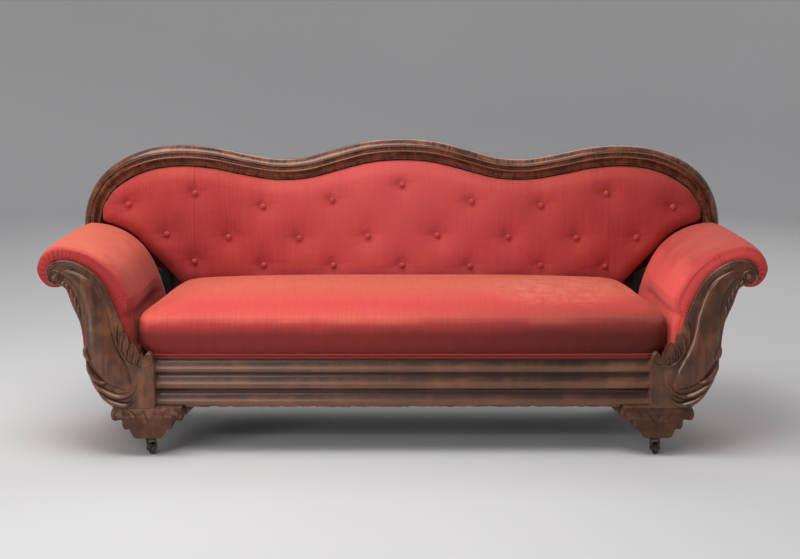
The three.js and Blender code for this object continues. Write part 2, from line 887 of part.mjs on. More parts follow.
function backPadBody() {
  const places = padColumnPlaces();
  const padColumns = places.length - 1;
  const across = (x) => (x / padHalfWidth + 1) / 2;
  const grid = [];
  for (const x of places) {
    const low = padBottomAt(x);
    const high = heightAt(insideCrest, x);
    grid.push(
      Array.from({ length: padRows + 1 }, (_, j) => [x, THREE.MathUtils.lerp(low, high, j / padRows)]),
    );
  }
  // The nearest inner corner of the grid moves onto each button, so that its dent is drawn in.
  for (const [bx, bz] of buttons) {
    const inner = grid.slice(1, -1).flatMap((column) => column.slice(1, -1));
    const distance = ([x, z]) => Math.hypot(x - bx, z - bz);
    const nearest = inner.reduce((a, b) => (distance(a) < distance(b) ? a : b));
    [nearest[0], nearest[1]] = [bx, bz];
  }
  const positions = [];
  for (let i = 0; i <= padColumns; i++) {
    for (let j = 0; j <= padRows; j++) {
      const [x, z] = grid[i][j];
      positions.push(x, backPadRearY - padDepth(x, z, across(places[i]), j / padRows), z);
    }
  }
  const at = (i, j) => i * (padRows + 1) + j;
  const faces = [];
  for (let i = 0; i < padColumns; i++) {
    for (let j = 0; j < padRows; j++) {
      const [a, b, c, d] = [at(i, j), at(i + 1, j), at(i + 1, j + 1), at(i, j + 1)];
      faces.push(a, b, c, a, c, d);
    }
  }
  const rim = [];
  for (let i = 0; i < padColumns; i++) rim.push(at(i, 0));
  for (let j = 0; j < padRows; j++) rim.push(at(padColumns, j));
  for (let i = padColumns; i > 0; i--) rim.push(at(i, padRows));
  for (let j = padRows; j > 0; j--) rim.push(at(0, j));
  const rear = positions.length / 3;
  for (const corner of rim) {
    positions.push(positions[3 * corner], backPadRearY, positions[3 * corner + 2]);
  }
  for (let k = 0; k < rim.length; k++) {
    const next = (k + 1) % rim.length;
    faces.push(rim[k], rear + k, rear + next, rim[k], rear + next, rim[next]);
  }
  const rimPoints = rim.map((c) => new THREE.Vector2(positions[3 * c], positions[3 * c + 2]));
  for (const [a, b, c] of THREE.ShapeUtils.triangulateShape(rimPoints, [])) {
    faces.push(rear + a, rear + c, rear + b);
  }
  const geometry = new THREE.BufferGeometry();
  geometry.setAttribute("position", new THREE.Float32BufferAttribute(positions, 3));
  geometry.setIndex(faces);
  return outward(geometry);
}

function backPad(body) {
  let pad = solidOf(body);
  const half = shankSide / 2 + shankClearance;
  for (const [x, z] of buttons) {
    const hole = box(
      [x - half, x + half],
      [backPadFrontY - cutOverrun, backPadRearY + cutOverrun],
      [z - half, z + half],
    );
    pad = pad.subtract(solidOf(hole));
  }
  return geometryOf(pad);
}

// The front of the padding under a button, found on the pad's own faces and corners
function seatOfButton(padMesh, x, z) {
  const ahead = new THREE.Vector3(0, 1, 0);
  const onEdge = Array.from({ length: rimSpots }, (_, k) => {
    const angle = (k / rimSpots) * 2 * Math.PI;
    const dx = buttonRadius * Math.cos(angle);
    const dz = buttonRadius * Math.sin(angle);
    const from = new THREE.Vector3(x + dx, 2 * frontY, z + dz);
    const hits = new THREE.Raycaster(from, ahead).intersectObject(padMesh);
    return hits.slice(0, 1).map((hit) => hit.point.y);
  });
  const corners = padMesh.geometry.attributes.position;
  const underneath = Array.from({ length: corners.count }, (_, i) => {
    const reach = Math.hypot(corners.getX(i) - x, corners.getZ(i) - z);
    return reach < buttonRadius ? [corners.getY(i)] : [];
  });
  return Math.min(...[...onEdge, ...underneath].flat()) - gap;
}

// A row of covered buttons, with their shanks through the pad and the tape that ties them behind it
function buttonRow(row, padMesh) {
  const half = shankSide / 2;
  const tieBackY = tieFrontY + tieThickness;
  const pieces = row.flatMap(([x, z]) => {
    const seat = seatOfButton(padMesh, x, z);
    const dome = lathed(
      [
        [0, 0],
        [buttonRadius, 0],
        [buttonRadius, buttonHeight * 0.35],
        [buttonRadius * 0.7, buttonHeight * 0.85],
        [0, buttonHeight],
      ],
      buttonSides,
    )
      .rotateX(Math.PI)
      .translate(x, seat, z);
    const shank = box(
      [x - half, x + half],
      [seat - buttonHeight / 2, tieFrontY + tieThickness / 2],
      [z - half, z + half],
    );
    return [dome, shank];
  });
  for (let k = 0; k + 1 < row.length; k++) {
    const [x0, z0] = row[k];
    const [x1, z1] = row[k + 1];
    const strip = [
      [x0 - tieWidth / 2, z0 - tieWidth / 2],
      [x1 + tieWidth / 2, z1 - tieWidth / 2],
      [x1 + tieWidth / 2, z1 + tieWidth / 2],
      [x0 - tieWidth / 2, z0 + tieWidth / 2],
    ];
    pieces.push(extrudedAlongY(outline(strip), tieFrontY, tieBackY));
  }
  return joined(...pieces);
}

// Cloth over the back of the frame, turned in along its sides as far as the arms
const coverSteps = 60;

function backCover() {
  const top = Array.from({ length: coverSteps + 1 }, (_, i) =>
    crestPoint(i / coverSteps, 0, coverInset),
  );
  const side = armInnerX;
  const waist = backPadBottom;
  const lower = [
    [side, waist],
    [side, railBottom],
    [-side, railBottom],
    [-side, waist],
  ];
  const panel = extrudedAlongY(outline([...top, ...lower]), coverFrontY, coverBackY);
  const [footX0, footZ0] = crestPoint(1, 1, coverThickness);
  const turnIn = [
    [footX0, footZ0 - coverThickness],
    [side, waist],
    [side, railBottom],
    [side - coverThickness, railBottom],
    [side - coverThickness, waist + coverThickness],
    [footX0 - coverThickness, footZ0 - coverThickness],
  ];
  const mirrored = turnIn.map(([x, z]) => [-x, z]).reverse();
  return joined(
    panel,
    extrudedAlongY(outline(turnIn), crestFrontY, coverBackY),
    extrudedAlongY(outline(mirrored), crestFrontY, coverBackY),
  );
}

const rearFrameHalf = armInnerX - coverThickness - gap;
const backPostInnerX = rearFrameHalf - backPostWidth;

function backPost() {
  const edges = [backPostInnerX, backPostInnerX + backPostWidth / 2, rearFrameHalf];
  const top = Math.min(...edges.map((x) => heightAt(insideCrest, x)));
  return box([edges[0], edges[2]], [backPostFrontY, crestBackY], [railBottom, top]);
}

function backLowerRail() {
  const half = backPostInnerX - gap;
  const lowestTie = Math.min(...buttons.map(([, z]) => z)) - tieWidth / 2;
  return box([-half, half], [backPadRearY + gap, crestBackY], [
    backPadBottom,
    lowestTie - lowerRailClearance,
  ]);
}

// Seat padding: rings around its plan, from the bottom up the sides and in over the crown
const seatHalfWidth = armInnerX - seatClearance;
const seatSideSteps = 7;
const seatFrontSteps = 20;
const seatCornerSteps = 4;
const seatCornerTurn = Math.PI / 2 / seatCornerSteps;

function seatTopAt(x, y) {
  const back = (y - railFaceY) / (seatRearY - railFaceY);
  const rise = seatRise * (1 - (1 - back) ** 2);
  return seatFrontHeight + rise - seatSideDroop * back * Math.abs(x / seatHalfWidth) ** 4;
}

// Plan of the pad at an inset from its widest line, as points that run around it
function seatPlan(inset) {
  const front = seatHalfWidth - inset;
  const back = seatHalfWidth - seatTaper - inset;
  const y0 = railFaceY + inset;
  const y1 = seatRearY - inset;
  const radius = Math.min(seatCornerRadius, (y1 - y0) / 2 - gap);
  const corners = [
    [front - radius, y0 + radius, -Math.PI / 2],
    [back - radius, y1 - radius, 0],
    [radius - back, y1 - radius, Math.PI / 2],
    [radius - front, y0 + radius, Math.PI],
  ];
  const points = [];
  corners.forEach(([cx, cy, start], k) => {
    for (let s = 0; s <= seatCornerSteps; s++) {
      const angle = start + s * seatCornerTurn;
      points.push([cx + radius * Math.cos(angle), cy + radius * Math.sin(angle)]);
    }
    const from = points[points.length - 1];
    const [nx, ny, nextStart] = corners[(k + 1) % corners.length];
    const to = [nx + radius * Math.cos(nextStart), ny + radius * Math.sin(nextStart)];
    const steps = k % 2 ? seatFrontSteps : seatSideSteps;
    for (let s = 1; s < steps; s++) {
      points.push([
        THREE.MathUtils.lerp(from[0], to[0], s / steps),
        THREE.MathUtils.lerp(from[1], to[1], s / steps),
      ]);
    }
  });
  return points;
}

function seatPad() {
  const half = (seatRearY - railFaceY) / 2;
  const rebateTop = seatBottom + weltDiameter * 2;
  const atLevel = (inset, level) =>
    seatPlan(inset).map(([x, y]) => new THREE.Vector3(x, y, level));
  const belowTop = (inset, drop) =>
    seatPlan(inset).map(([x, y]) => new THREE.Vector3(x, y, seatTopAt(x, y) - drop));
  const rings = [
    atLevel(weltRebate, seatBottom),
    atLevel(weltRebate, rebateTop),
    atLevel(weltRebate / 5, rebateTop + weltToSide),
    belowTop(0, seatShoulder * 1.5),
    belowTop(seatShoulder * 0.12, seatShoulder * 0.7),
    belowTop(seatShoulder * 0.45, seatShoulder * 0.24),
    belowTop(seatShoulder, seatShoulder * 0.06),
    belowTop(half * 0.3, 0),
    belowTop(half * 0.6, -seatShoulder * 0.1),
    belowTop(half * 0.92, -seatShoulder * 0.15),
  ];
  return lofted(rings, ["x", "y"]);
}

// Double welt in the pad's rebate, as two cords sewn side by side
function seatWelt() {
  const radius = weltDiameter / 2;
  const y = railFaceY + weltRebate - gap - radius;
  const bottom = seatBottom;
  const half = seatHalfWidth - weltRebate - seatCornerRadius;
  const cord = (z) =>
    new THREE.CylinderGeometry(radius, radius, 2 * half, weltSides)
      .rotateZ(Math.PI / 2)
      .translate(0, y, z);
  const seam = box(
    [-half, half],
    [y - radius / 4, y + radius / 4],
    [bottom + radius, bottom + 3 * radius],
  );
  return joined(cord(bottom + radius), cord(bottom + 3 * radius), seam);
}

// Jute straps tacked across the rails, level where they cross
const crossStraps = 9;
const longStraps = 3;

function seatWebbing() {
  const halfX = armInnerX - seatClearance;
  const level = [webbingBottom, webbingBottom + strapThickness];
  const straps = [];
  for (let i = 0; i < crossStraps; i++) {
    const x0 = THREE.MathUtils.lerp(-halfX, halfX - strapWidth, i / (crossStraps - 1));
    straps.push(box([x0, x0 + strapWidth], [railFrontY, rearRailBackY], level));
  }
  const open = rearRailFrontY - innerFrontY - longStraps * strapWidth;
  for (let j = 0; j < longStraps; j++) {
    const y0 = innerFrontY + ((j + 1) * open) / (longStraps + 1) + j * strapWidth;
    straps.push(box([-halfX, halfX], [y0, y0 + strapWidth], level));
  }
  return joined(...straps);
}

// The sofa
const sofa = new THREE.Group();
sofa.name = "mahogany_sofa";

function add(name, geometry, material, parent = sofa) {
  const mesh = new THREE.Mesh(geometry, material);
  mesh.name = name;
  parent.add(mesh);
  return mesh;
}

// Left-hand copies hang in a group that mirrors them across the middle.
const rightHand = new THREE.Group();
const leftHand = new THREE.Group();
leftHand.scale.x = -1;
sofa.add(rightHand, leftHand);
const hands = { left: leftHand, right: rightHand };

for (const [corner, turn] of Object.entries(casterTurns)) {
  const [end, side] = corner.split("_");
  const signX = side === "left" ? -1 : 1;
  const signY = end === "front" ? -1 : 1;
  const plate = add(`caster_plate_${corner}`, casterPlate(), brass);
  const caster = new THREE.Group();
  caster.position.set(signX * footX, signY * footY, 0);
  plate.position.copy(caster.position);
  caster.rotation.z = THREE.MathUtils.degToRad(turn);
  sofa.add(caster);
  add(`caster_fork_${corner}`, casterFork(), brass, caster);
  add(`caster_wheel_${corner}`, casterWheel(), iron, caster);
  add(`caster_axle_${corner}`, casterAxle(), iron, caster);
  add(`foot_${corner}`, foot().translate(footX, signY * footY, 0), mahogany, hands[side]);
  const railY = end === "front" ? (railFrontY + railBackY) / 2 : (rearRailFrontY + rearRailBackY) / 2;
  add(`glue_block_${corner}`, glueBlock().translate(footX, railY, 0), frameWood, hands[side]);
}

add(
  "front_rail",
  box([-railHalfLength, railHalfLength], [railFrontY, railBackY], [railBottom, railTop]),
  frameWood,
);
add("front_rail_torus", torusMoulding(), figuredMahogany);
add("front_rail_ogee", ogeeMoulding(), figuredMahogany);
add("front_rail_bead", railBead(), mahogany);
add(
  "rear_rail",
  box([-rearFrameHalf, rearFrameHalf], [rearRailFrontY, rearRailBackY], [railBottom, railTop]),
  frameWood,
);
for (const [side, sign] of [["left", -1], ["right", 1]]) {
  const middle = sign * bracePlace;
  const level = (railBottom + railTop) / 2;
  add(
    `seat_brace_${side}`,
    box(
      [middle - braceWidth / 2, middle + braceWidth / 2],
      [railBackY + gap, rearRailFrontY - gap],
      [level - braceHeight / 2, level + braceHeight / 2],
    ),
    frameWood,
  );
}
add("seat_webbing", seatWebbing(), jute);
add("seat_pad", seatPad(), seatVelvet);
add("seat_welt", seatWelt(), velvet);
add(
  "dust_cover",
  box(
    [-rearFrameHalf, rearFrameHalf],
    [innerFrontY, rearRailFrontY - gap],
    [railBottom + dustCoverInset, railBottom + dustCoverInset + dustCoverThickness],
  ),
  cambric,
);

for (const [side, hand] of Object.entries(hands)) {
  add(`arm_facing_${side}`, armFacing(), mahogany, hand);
  add(`arm_pad_${side}`, armPad(), velvet, hand);
  add(`arm_outside_${side}`, armOutside(), velvet, hand);
  add(`arm_post_front_${side}`, armPost(armFrontY, railTop + gap), frameWood, hand);
  add(`arm_post_rear_${side}`, armPost(rearPostFrontY, railBottom), frameWood, hand);
  add(`arm_roll_rail_${side}`, armRollRail(), frameWood, hand);
  add(
    `side_rail_${side}`,
    box(
      [armInnerX, sideRailOuterX],
      [blockBackY + gap, rearPostFrontY - gap],
      [railBottom, railTop],
    ),
    frameWood,
    hand,
  );
  add(`back_post_${side}`, backPost(), frameWood, hand);
}

add("crest_center", crestPiece(1 - valley, valley, crestCentreSteps), figuredMahogany);
add("crest_left", crestPiece(0, 1 - valley - 2 * halfJoint, crestSideSteps), figuredMahogany);
add("crest_right", crestPiece(valley + 2 * halfJoint, 1, crestSideSteps), figuredMahogany);
add("back_lower_rail", backLowerRail(), frameWood);
add("back_cover", backCover(), backCloth);

const padBody = backPadBody();
const padProbe = new THREE.Mesh(padBody, new THREE.MeshBasicMaterial({ side: THREE.DoubleSide }));
add("back_pad", backPad(padBody), velvet);
for (const [name, row] of Object.entries(buttonRows)) {
  add(name, buttonRow(row, padProbe), velvet);
}

export default sofa;
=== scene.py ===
"""Dresses a packed scroll-arm sofa in carved mahogany and buttoned velvet. Metres, +Z up, front towards -Y."""
import json
import math

import bpy
import numpy as np
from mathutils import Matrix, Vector
from mathutils.kdtree import KDTree


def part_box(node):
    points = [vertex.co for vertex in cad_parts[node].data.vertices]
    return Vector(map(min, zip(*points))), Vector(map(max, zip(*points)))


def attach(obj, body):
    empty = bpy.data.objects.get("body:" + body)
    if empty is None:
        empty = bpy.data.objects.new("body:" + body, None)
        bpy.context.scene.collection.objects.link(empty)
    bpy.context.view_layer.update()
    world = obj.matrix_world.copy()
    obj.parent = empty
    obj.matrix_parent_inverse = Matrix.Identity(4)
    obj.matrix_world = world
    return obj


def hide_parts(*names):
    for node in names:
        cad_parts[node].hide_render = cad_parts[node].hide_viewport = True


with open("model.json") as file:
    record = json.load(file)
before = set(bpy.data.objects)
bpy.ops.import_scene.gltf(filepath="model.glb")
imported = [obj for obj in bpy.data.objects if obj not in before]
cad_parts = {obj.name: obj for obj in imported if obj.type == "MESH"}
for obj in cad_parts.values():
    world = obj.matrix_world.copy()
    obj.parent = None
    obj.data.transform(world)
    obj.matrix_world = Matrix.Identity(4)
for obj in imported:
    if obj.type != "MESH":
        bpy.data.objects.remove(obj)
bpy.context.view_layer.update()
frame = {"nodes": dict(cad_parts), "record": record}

full_turn = 2 * math.pi

# Camera, where the photograph was taken from
camera_place = (-0.02, -4.73, 1.303)
camera_tilt = math.radians(9.577)
camera_turn = math.radians(0.153)
lens_over_sensor = 1.849
sensor_width = 36


def add_object(name, data):
    made = bpy.data.objects.new(name, data)
    bpy.context.scene.collection.objects.link(made)
    return made


def place_camera():
    camera = add_object("camera", bpy.data.cameras.new("camera"))
    camera.location = camera_place
    camera.rotation_euler = (math.pi / 2 - camera_tilt, 0, -camera_turn)
    camera.data.sensor_width = sensor_width
    camera.data.lens = lens_over_sensor * sensor_width
    bpy.context.scene.camera = camera


place_camera()


# Hand tools
def alone(obj):
    """Selects one object and nothing else."""
    bpy.ops.object.select_all(action="DESELECT")
    obj.select_set(True)
    bpy.context.view_layer.objects.active = obj
    return obj


def merged(obj, threshold=1e-5):
    """Merges a piece's doubles and turns its faces outwards."""
    alone(obj)
    bpy.ops.object.mode_set(mode="EDIT")
    bpy.ops.mesh.select_all(action="SELECT")
    bpy.ops.mesh.remove_doubles(threshold=threshold)
    bpy.ops.mesh.normals_make_consistent(inside=False)
    bpy.ops.object.mode_set(mode="OBJECT")
    return obj


def smoothed(obj, degrees):
    alone(obj)
    bpy.ops.object.shade_smooth_by_angle(angle=math.radians(degrees))


def joined(name, pieces):
    alone(pieces[0])
    for piece in pieces:
        piece.select_set(True)
    bpy.ops.object.join()
    pieces[0].name = name
    return pieces[0]


def settled(obj):
    """Brings a piece's place, turn and scale into its mesh."""
    alone(obj)
    bpy.ops.object.transform_apply(location=True, rotation=True, scale=True)
    return obj


def mirrored(obj, name):
    """The same piece on the sofa's other side."""
    alone(obj)
    bpy.ops.object.duplicate()
    twin = bpy.context.object
    twin.name = name
    twin.scale.x = -1
    return merged(settled(twin))


def both_sides(piece):
    """A right-hand piece and its twin, by their sides."""
    twin = mirrored(piece, piece.name.replace("right", "left"))
    return {"right": piece, "left": twin}.items()


def applied(obj, kind, **settings):
    """Gives a piece a modifier and applies it."""
    modifier = obj.modifiers.new(kind.lower(), kind)
    for name, value in settings.items():
        setattr(modifier, name, value)
    alone(obj)
    bpy.ops.object.modifier_apply(modifier=modifier.name)


def finished(obj, material, slot, *nodes, smooth=35):
    """Gives a piece its finish, its body and the nodes that it stands for."""
    smoothed(obj, smooth)
    obj.data.materials.clear()
    obj.data.materials.append(material)
    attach(obj, "sofa")
    if nodes:
        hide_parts(*nodes)


def per_point(obj, kind):
    values = np.empty(3 * len(obj.data.vertices), np.float32)
    obj.data.vertices.foreach_get(kind, values)
    return values.reshape(-1, 3).astype(float)


def coordinates(obj):
    return per_point(obj, "co")


def vertex_normals(obj):
    return per_point(obj, "normal")


def reshaped(obj, co):
    obj.data.vertices.foreach_set("co", co.astype(np.float32).ravel())
    obj.data.update()
    return obj


def mark(obj, name, values):
    """Gives each point of a piece a number that its material reads."""
    layer = obj.data.attributes.new(name, "FLOAT", "POINT")
    layer.data.foreach_set("value", values.astype(np.float32))


def mark_relief(obj, low, high):
    """Marks each point of a piece with its share of the way from its back to its front."""
    mark(obj, "relief", (high.y - coordinates(obj)[:, 1]) / (high.y - low.y))
    return obj


def hump(value, centre, reach):
    return np.exp(-(((value - centre) / reach) ** 2))


def part_of(distance, whole):
    """A distance as a share of a whole one, from 0 to 1."""
    return np.clip(distance / whole, 0, 1)


def lengths_along(line):
    """The length of a line up to each of its points."""
    return np.r_[0, np.cumsum(np.linalg.norm(np.diff(line, axis=0), axis=1))]


def evenly(line, count):
    """A number of evenly spaced points along a line."""
    along = lengths_along(line)
    even = np.linspace(0, along[-1], count)
    return np.column_stack([np.interp(even, along, column) for column in line.T])


def smooth_line(points, count):
    """Evenly spaced points on a smooth line through the given ones."""
    knots = np.array(points, float)
    knots = np.vstack([2 * knots[0] - knots[1], knots, 2 * knots[-1] - knots[-2]])
    dense = []
    for a, b, c, d in zip(knots, knots[1:], knots[2:], knots[3:]):
        t1 = math.sqrt(np.linalg.norm(b - a))
        t2 = t1 + math.sqrt(np.linalg.norm(c - b))
        t3 = t2 + math.sqrt(np.linalg.norm(d - c))
        t = np.linspace(t1, t2, 24, endpoint=False)[:, None]
        ab = (t1 - t) / t1 * a + t / t1 * b
        bc = (t2 - t) / (t2 - t1) * b + (t - t1) / (t2 - t1) * c
        cd = (t3 - t) / (t3 - t2) * c + (t - t2) / (t3 - t2) * d
        abc = (t2 - t) / t2 * ab + t / t2 * bc
        bcd = (t3 - t) / (t3 - t1) * bc + (t - t1) / (t3 - t1) * cd
        dense.append((t2 - t) / (t2 - t1) * abc + (t - t1) / (t2 - t1) * bcd)
    return evenly(np.vstack([*dense, knots[-2]]), count)


def pushed(line, distance):
    """A line moved to its left by a distance."""
    along = np.gradient(np.array(line), axis=0)
    along /= np.linalg.norm(along, axis=1)[:, None]
    return np.array(line) + distance * np.column_stack([-along[:, 1], along[:, 0]])


def bow(start, pull, end, steps=6):
    """A short curve from start to end, pulled towards a point."""
    t = np.linspace(0, 1, steps + 1)[1:, None]
    return (1 - t) ** 2 * np.array(start) + 2 * t * (1 - t) * np.array(pull) + t**2 * np.array(end)


def finder_of(points):
    """A finder of the nearest of some points of X and Z."""
    finder = KDTree(len(points))
    for k, (x, z) in enumerate(points):
        finder.insert((x, 0, z), k)
    finder.balance()
    return finder


def nearest_number(finder, flat):
    return np.array([finder.find((x, 0, z))[1] for x, z in flat])


def flat_curve(name, points, closed, radii=None):
    data = bpy.data.curves.new(name, "CURVE")
    data.dimensions = "2D"
    spline = data.splines.new("POLY")
    spline.points.add(len(points) - 1)
    for k, (x, y) in enumerate(points):
        spline.points[k].co = (x, y, 0, 1)
        spline.points[k].radius = 1 if radii is None else radii[k]
    spline.use_cyclic_u = closed
    return add_object(name, data)


def stood_up(curve, y):
    """Makes a flat curve a mesh, and stands it upright so that its own height points to the front."""
    alone(curve)
    bpy.ops.object.convert(target="MESH")
    curve.rotation_euler.x = math.pi / 2
    curve.location.y = y
    return settled(curve)


def board(name, points, front, back, edge):
    """A board cut to an outline of X and Z, with eased edges."""
    curve = flat_curve(name, points, True)
    curve.data.fill_mode = "BOTH"
    curve.data.extrude = (back - front) / 2 - edge
    curve.data.bevel_depth = edge
    curve.data.bevel_resolution = 2
    curve.data.offset = -edge
    return merged(stood_up(curve, (front + back) / 2))


def swept(name, path, profile, back, radii=None):
    """Runs a profile of widths and heights along a path of X and Z. Its width goes to the path's right."""
    shape = flat_curve(name + "_profile", profile, True)
    curve = flat_curve(name, path, False, radii)
    curve.data.bevel_mode = "OBJECT"
    curve.data.bevel_object = shape
    curve.data.use_fill_caps = True
    made = stood_up(curve, back)
    bpy.data.objects.remove(shape)
    return made


def moulding(name, path, profile, back, radii=None):
    """A swept profile whose UV map, made in shares, is turned into metres."""
    made = swept(name, path, profile, back, radii)
    size = lengths_along(path)[-1], lengths_along(np.vstack([profile, profile[0]]))[-1]
    layer = made.data.uv_layers.active
    uv = np.empty(2 * len(layer.data), np.float32)
    layer.data.foreach_get("uv", uv)
    layer.data.foreach_set("uv", (uv.reshape(-1, 2) * size).ravel())
    return merged(made)


# Node helpers
def feed(socket, value):
    """Links a value to a socket, or sets a plain one there."""
    if isinstance(value, bpy.types.NodeSocket):
        socket.id_data.links.new(value, socket)
    else:
        socket.default_value = value


def tree_of(*values):
    """The node tree that holds the first linked value."""
    return next(value.id_data for value in values if isinstance(value, bpy.types.NodeSocket))


def put(tree, kind, settings=None, **inputs):
    """Adds a node with its settings, and its inputs as values or as sockets to link."""
    made = tree.nodes.new(kind)
    for name, value in (settings or {}).items():
        setattr(made, name, value)
    for name, value in inputs.items():
        feed(made.inputs[name.replace("_", " ")], value)
    return made


def reckoned(kind, operation, values):
    made = put(tree_of(*values), kind, {"operation": operation})
    for socket, value in zip(made.inputs, values):
        feed(socket, value)
    return made.outputs


def maths(operation, *values):
    return reckoned("ShaderNodeMath", operation, values)[0]


def vector_maths(operation, *values):
    return reckoned("ShaderNodeVectorMath", operation, values)["Value" if operation == "LENGTH" else "Vector"]


def times(product, *others):
    for value in others:
        product = maths("MULTIPLY", product, value)
    return product


def plus(total, *others):
    for value in others:
        total = maths("ADD", total, value)
    return total


def minus(a, b):
    return maths("SUBTRACT", a, b)


def mixed(share, a, b):
    made = put(tree_of(share, a, b), "ShaderNodeMix", {"data_type": "RGBA"})
    for index, value in ((0, share), (6, a), (7, b)):
        feed(made.inputs[index], (*value, 1) if isinstance(value, tuple) else value)
    return made.outputs[2]


def tinted(colour, share, strength, towards):
    """A colour that goes towards another by a share, at most by a strength."""
    return mixed(times(share, strength), colour, towards)


def ramped(value, low, high):
    """0 at low and 1 at high, smooth between them."""
    settings = {"interpolation_type": "SMOOTHSTEP"}
    return put(tree_of(value), "ShaderNodeMapRange", settings, Value=value, From_Min=low, From_Max=high).outputs[0]


def speckle(vector, scale, detail=3, roughness=0.5):
    inputs = {"Vector": vector, "Scale": scale, "Detail": detail, "Roughness": roughness}
    return put(tree_of(vector), "ShaderNodeTexNoise", **inputs).outputs["Fac"]


def split(vector):
    return put(tree_of(vector), "ShaderNodeSeparateXYZ", Vector=vector).outputs


def across_sofa(vector, axis, start, end):
    """0 at a start and 1 at an end along an axis of the sofa, even between them."""
    value = split(vector)[axis]
    return put(tree_of(vector), "ShaderNodeMapRange", Value=value, From_Min=start, From_Max=end).outputs[0]


def marked(tree, name):
    """What a piece's points are marked with."""
    return put(tree, "ShaderNodeAttribute", {"attribute_name": name}).outputs["Fac"]


def place(tree, source="Object"):
    return put(tree, "ShaderNodeTexCoord").outputs[source]


def new_group(name, outputs, **inputs):
    """A shader node group with a vector, named inputs and outputs, and its two end nodes."""
    tree = bpy.data.node_groups.new(name, "ShaderNodeTree")
    tree.interface.new_socket("Vector", in_out="INPUT", socket_type="NodeSocketVector")
    for label, value in inputs.items():
        kind = "NodeSocketVector" if isinstance(value, tuple) else "NodeSocketFloat"
        socket = tree.interface.new_socket(label.replace("_", " "), in_out="INPUT", socket_type=kind)
        socket.default_value = value
    for label in outputs:
        tree.interface.new_socket(label, in_out="OUTPUT", socket_type="NodeSocketFloat")
    return tree, tree.nodes.new("NodeGroupInput").outputs, tree.nodes.new("NodeGroupOutput").inputs


def grouped(group, vector, **inputs):
    return put(tree_of(vector), "ShaderNodeGroup", {"node_tree": group}, Vector=vector, **inputs).outputs


def pile_group():
    """Velvet: fine ribs along one way with a weft across, soft patches of brushed nap, and a short pile."""
    tree, start, end = new_group("pile", ["Rib", "Patch", "Height"], Rib_Stretch=(1, 0.02, 0.02), Ribs=320, Patches=5)
    vector, stretch, pitch = start["Vector"], start["Rib Stretch"], start["Ribs"]
    ribs = vector_maths("MULTIPLY", vector, stretch)
    weft = vector_maths("MULTIPLY", vector, vector_maths("SUBTRACT", (1.02, 1.02, 1.02), stretch))
    rib = speckle(ribs, pitch, 2, 0.6)
    wide = speckle(ribs, times(pitch, 0.25), 1)
    cross = speckle(weft, pitch, 2, 0.6)
    threads = plus(times(rib, 0.6), times(wide, 0.1), times(cross, 0.3))
    tuft = speckle(vector, 1400, 1)
    feed(end["Rib"], ramped(threads, 0.36, 0.64))
    feed(end["Patch"], ramped(speckle(vector, start["Patches"], 3, 0.55), 0.35, 0.65))
    feed(end["Height"], plus(times(threads, 0.7), times(tuft, 0.3)))
    return tree


def figure_group():
    """Mahogany: streaks of grain, broad dark figure, warm patches, and open pores."""
    tree, start, end = new_group(
        "figure", ["Streak", "Dark", "Warm", "Pore"], Grain_Stretch=(1, 0.06, 0.06), Grain=140, Figure=9
    )
    vector, grain, broad = start["Vector"], start["Grain"], start["Figure"]
    along = vector_maths("MULTIPLY", vector, start["Grain Stretch"])
    bend = put(tree, "ShaderNodeTexNoise", Vector=vector, Scale=14, Detail=2).outputs["Color"]
    bent = vector_maths("MULTIPLY_ADD", bend, (0.012, 0.012, 0.012), along)
    feed(end["Streak"], ramped(speckle(bent, grain, 4, 0.6), 0.35, 0.65))
    feed(end["Dark"], ramped(speckle(vector, broad, 3, 0.6), 0.42, 0.62))
    feed(end["Warm"], ramped(speckle(vector, times(broad, 1.3), 2), 0.5, 0.66))
    feed(end["Pore"], ramped(speckle(bent, times(grain, 5), 1), 0.3, 0.5))
    return tree


def wear_group():
    """Where edges are worn pale, and where the surface is hollow."""
    tree, start, end = new_group("wear", ["Edge", "Hollow"])
    point = put(tree, "ShaderNodeNewGeometry").outputs["Pointiness"]
    broken = speckle(start["Vector"], 60, 4, 0.6)
    feed(end["Edge"], times(ramped(point, 0.52, 0.6), ramped(broken, 0.35, 0.6)))
    feed(end["Hollow"], ramped(point, 0.49, 0.42))
    return tree


pile = pile_group()
figure = figure_group()
wear = wear_group()


def new_material(name, **sockets):
    """A material with its shader's fixed values, and its tree and shader to link to."""
    material = bpy.data.materials.new(name)
    material.use_nodes = True
    tree = material.node_tree
    shader = tree.nodes["Principled BSDF"]
    for label, value in sockets.items():
        shader.inputs[label.replace("_", " ")].default_value = value
    return material, tree, shader


def painted(shader, colour, height, strength, distance):
    """Gives a shader its colour, and a height as its bump."""
    feed(shader.inputs["Base Color"], colour)
    bump = put(shader.id_data, "ShaderNodeBump", Strength=strength, Distance=distance, Height=height)
    feed(shader.inputs["Normal"], bump.outputs[0])


# Velvets
crimson = (0.49, 0.054, 0.053)
deep_crimson = (0.35, 0.032, 0.033)
salmon = (0.74, 0.17, 0.1)
rose = (0.62, 0.085, 0.068)
shadow_crimson = (0.13, 0.02, 0.016)
lit_crimson = (0.86, 0.12, 0.1)
seam_shadow = (0.16, 0.012, 0.014)
fold_shadow = (0.16, 0.01, 0.012)
upright_ribs = (1, 0.02, 0.02)
level_ribs = (0.02, 1, 0.02)
no_ribs = (1, 1, 1)


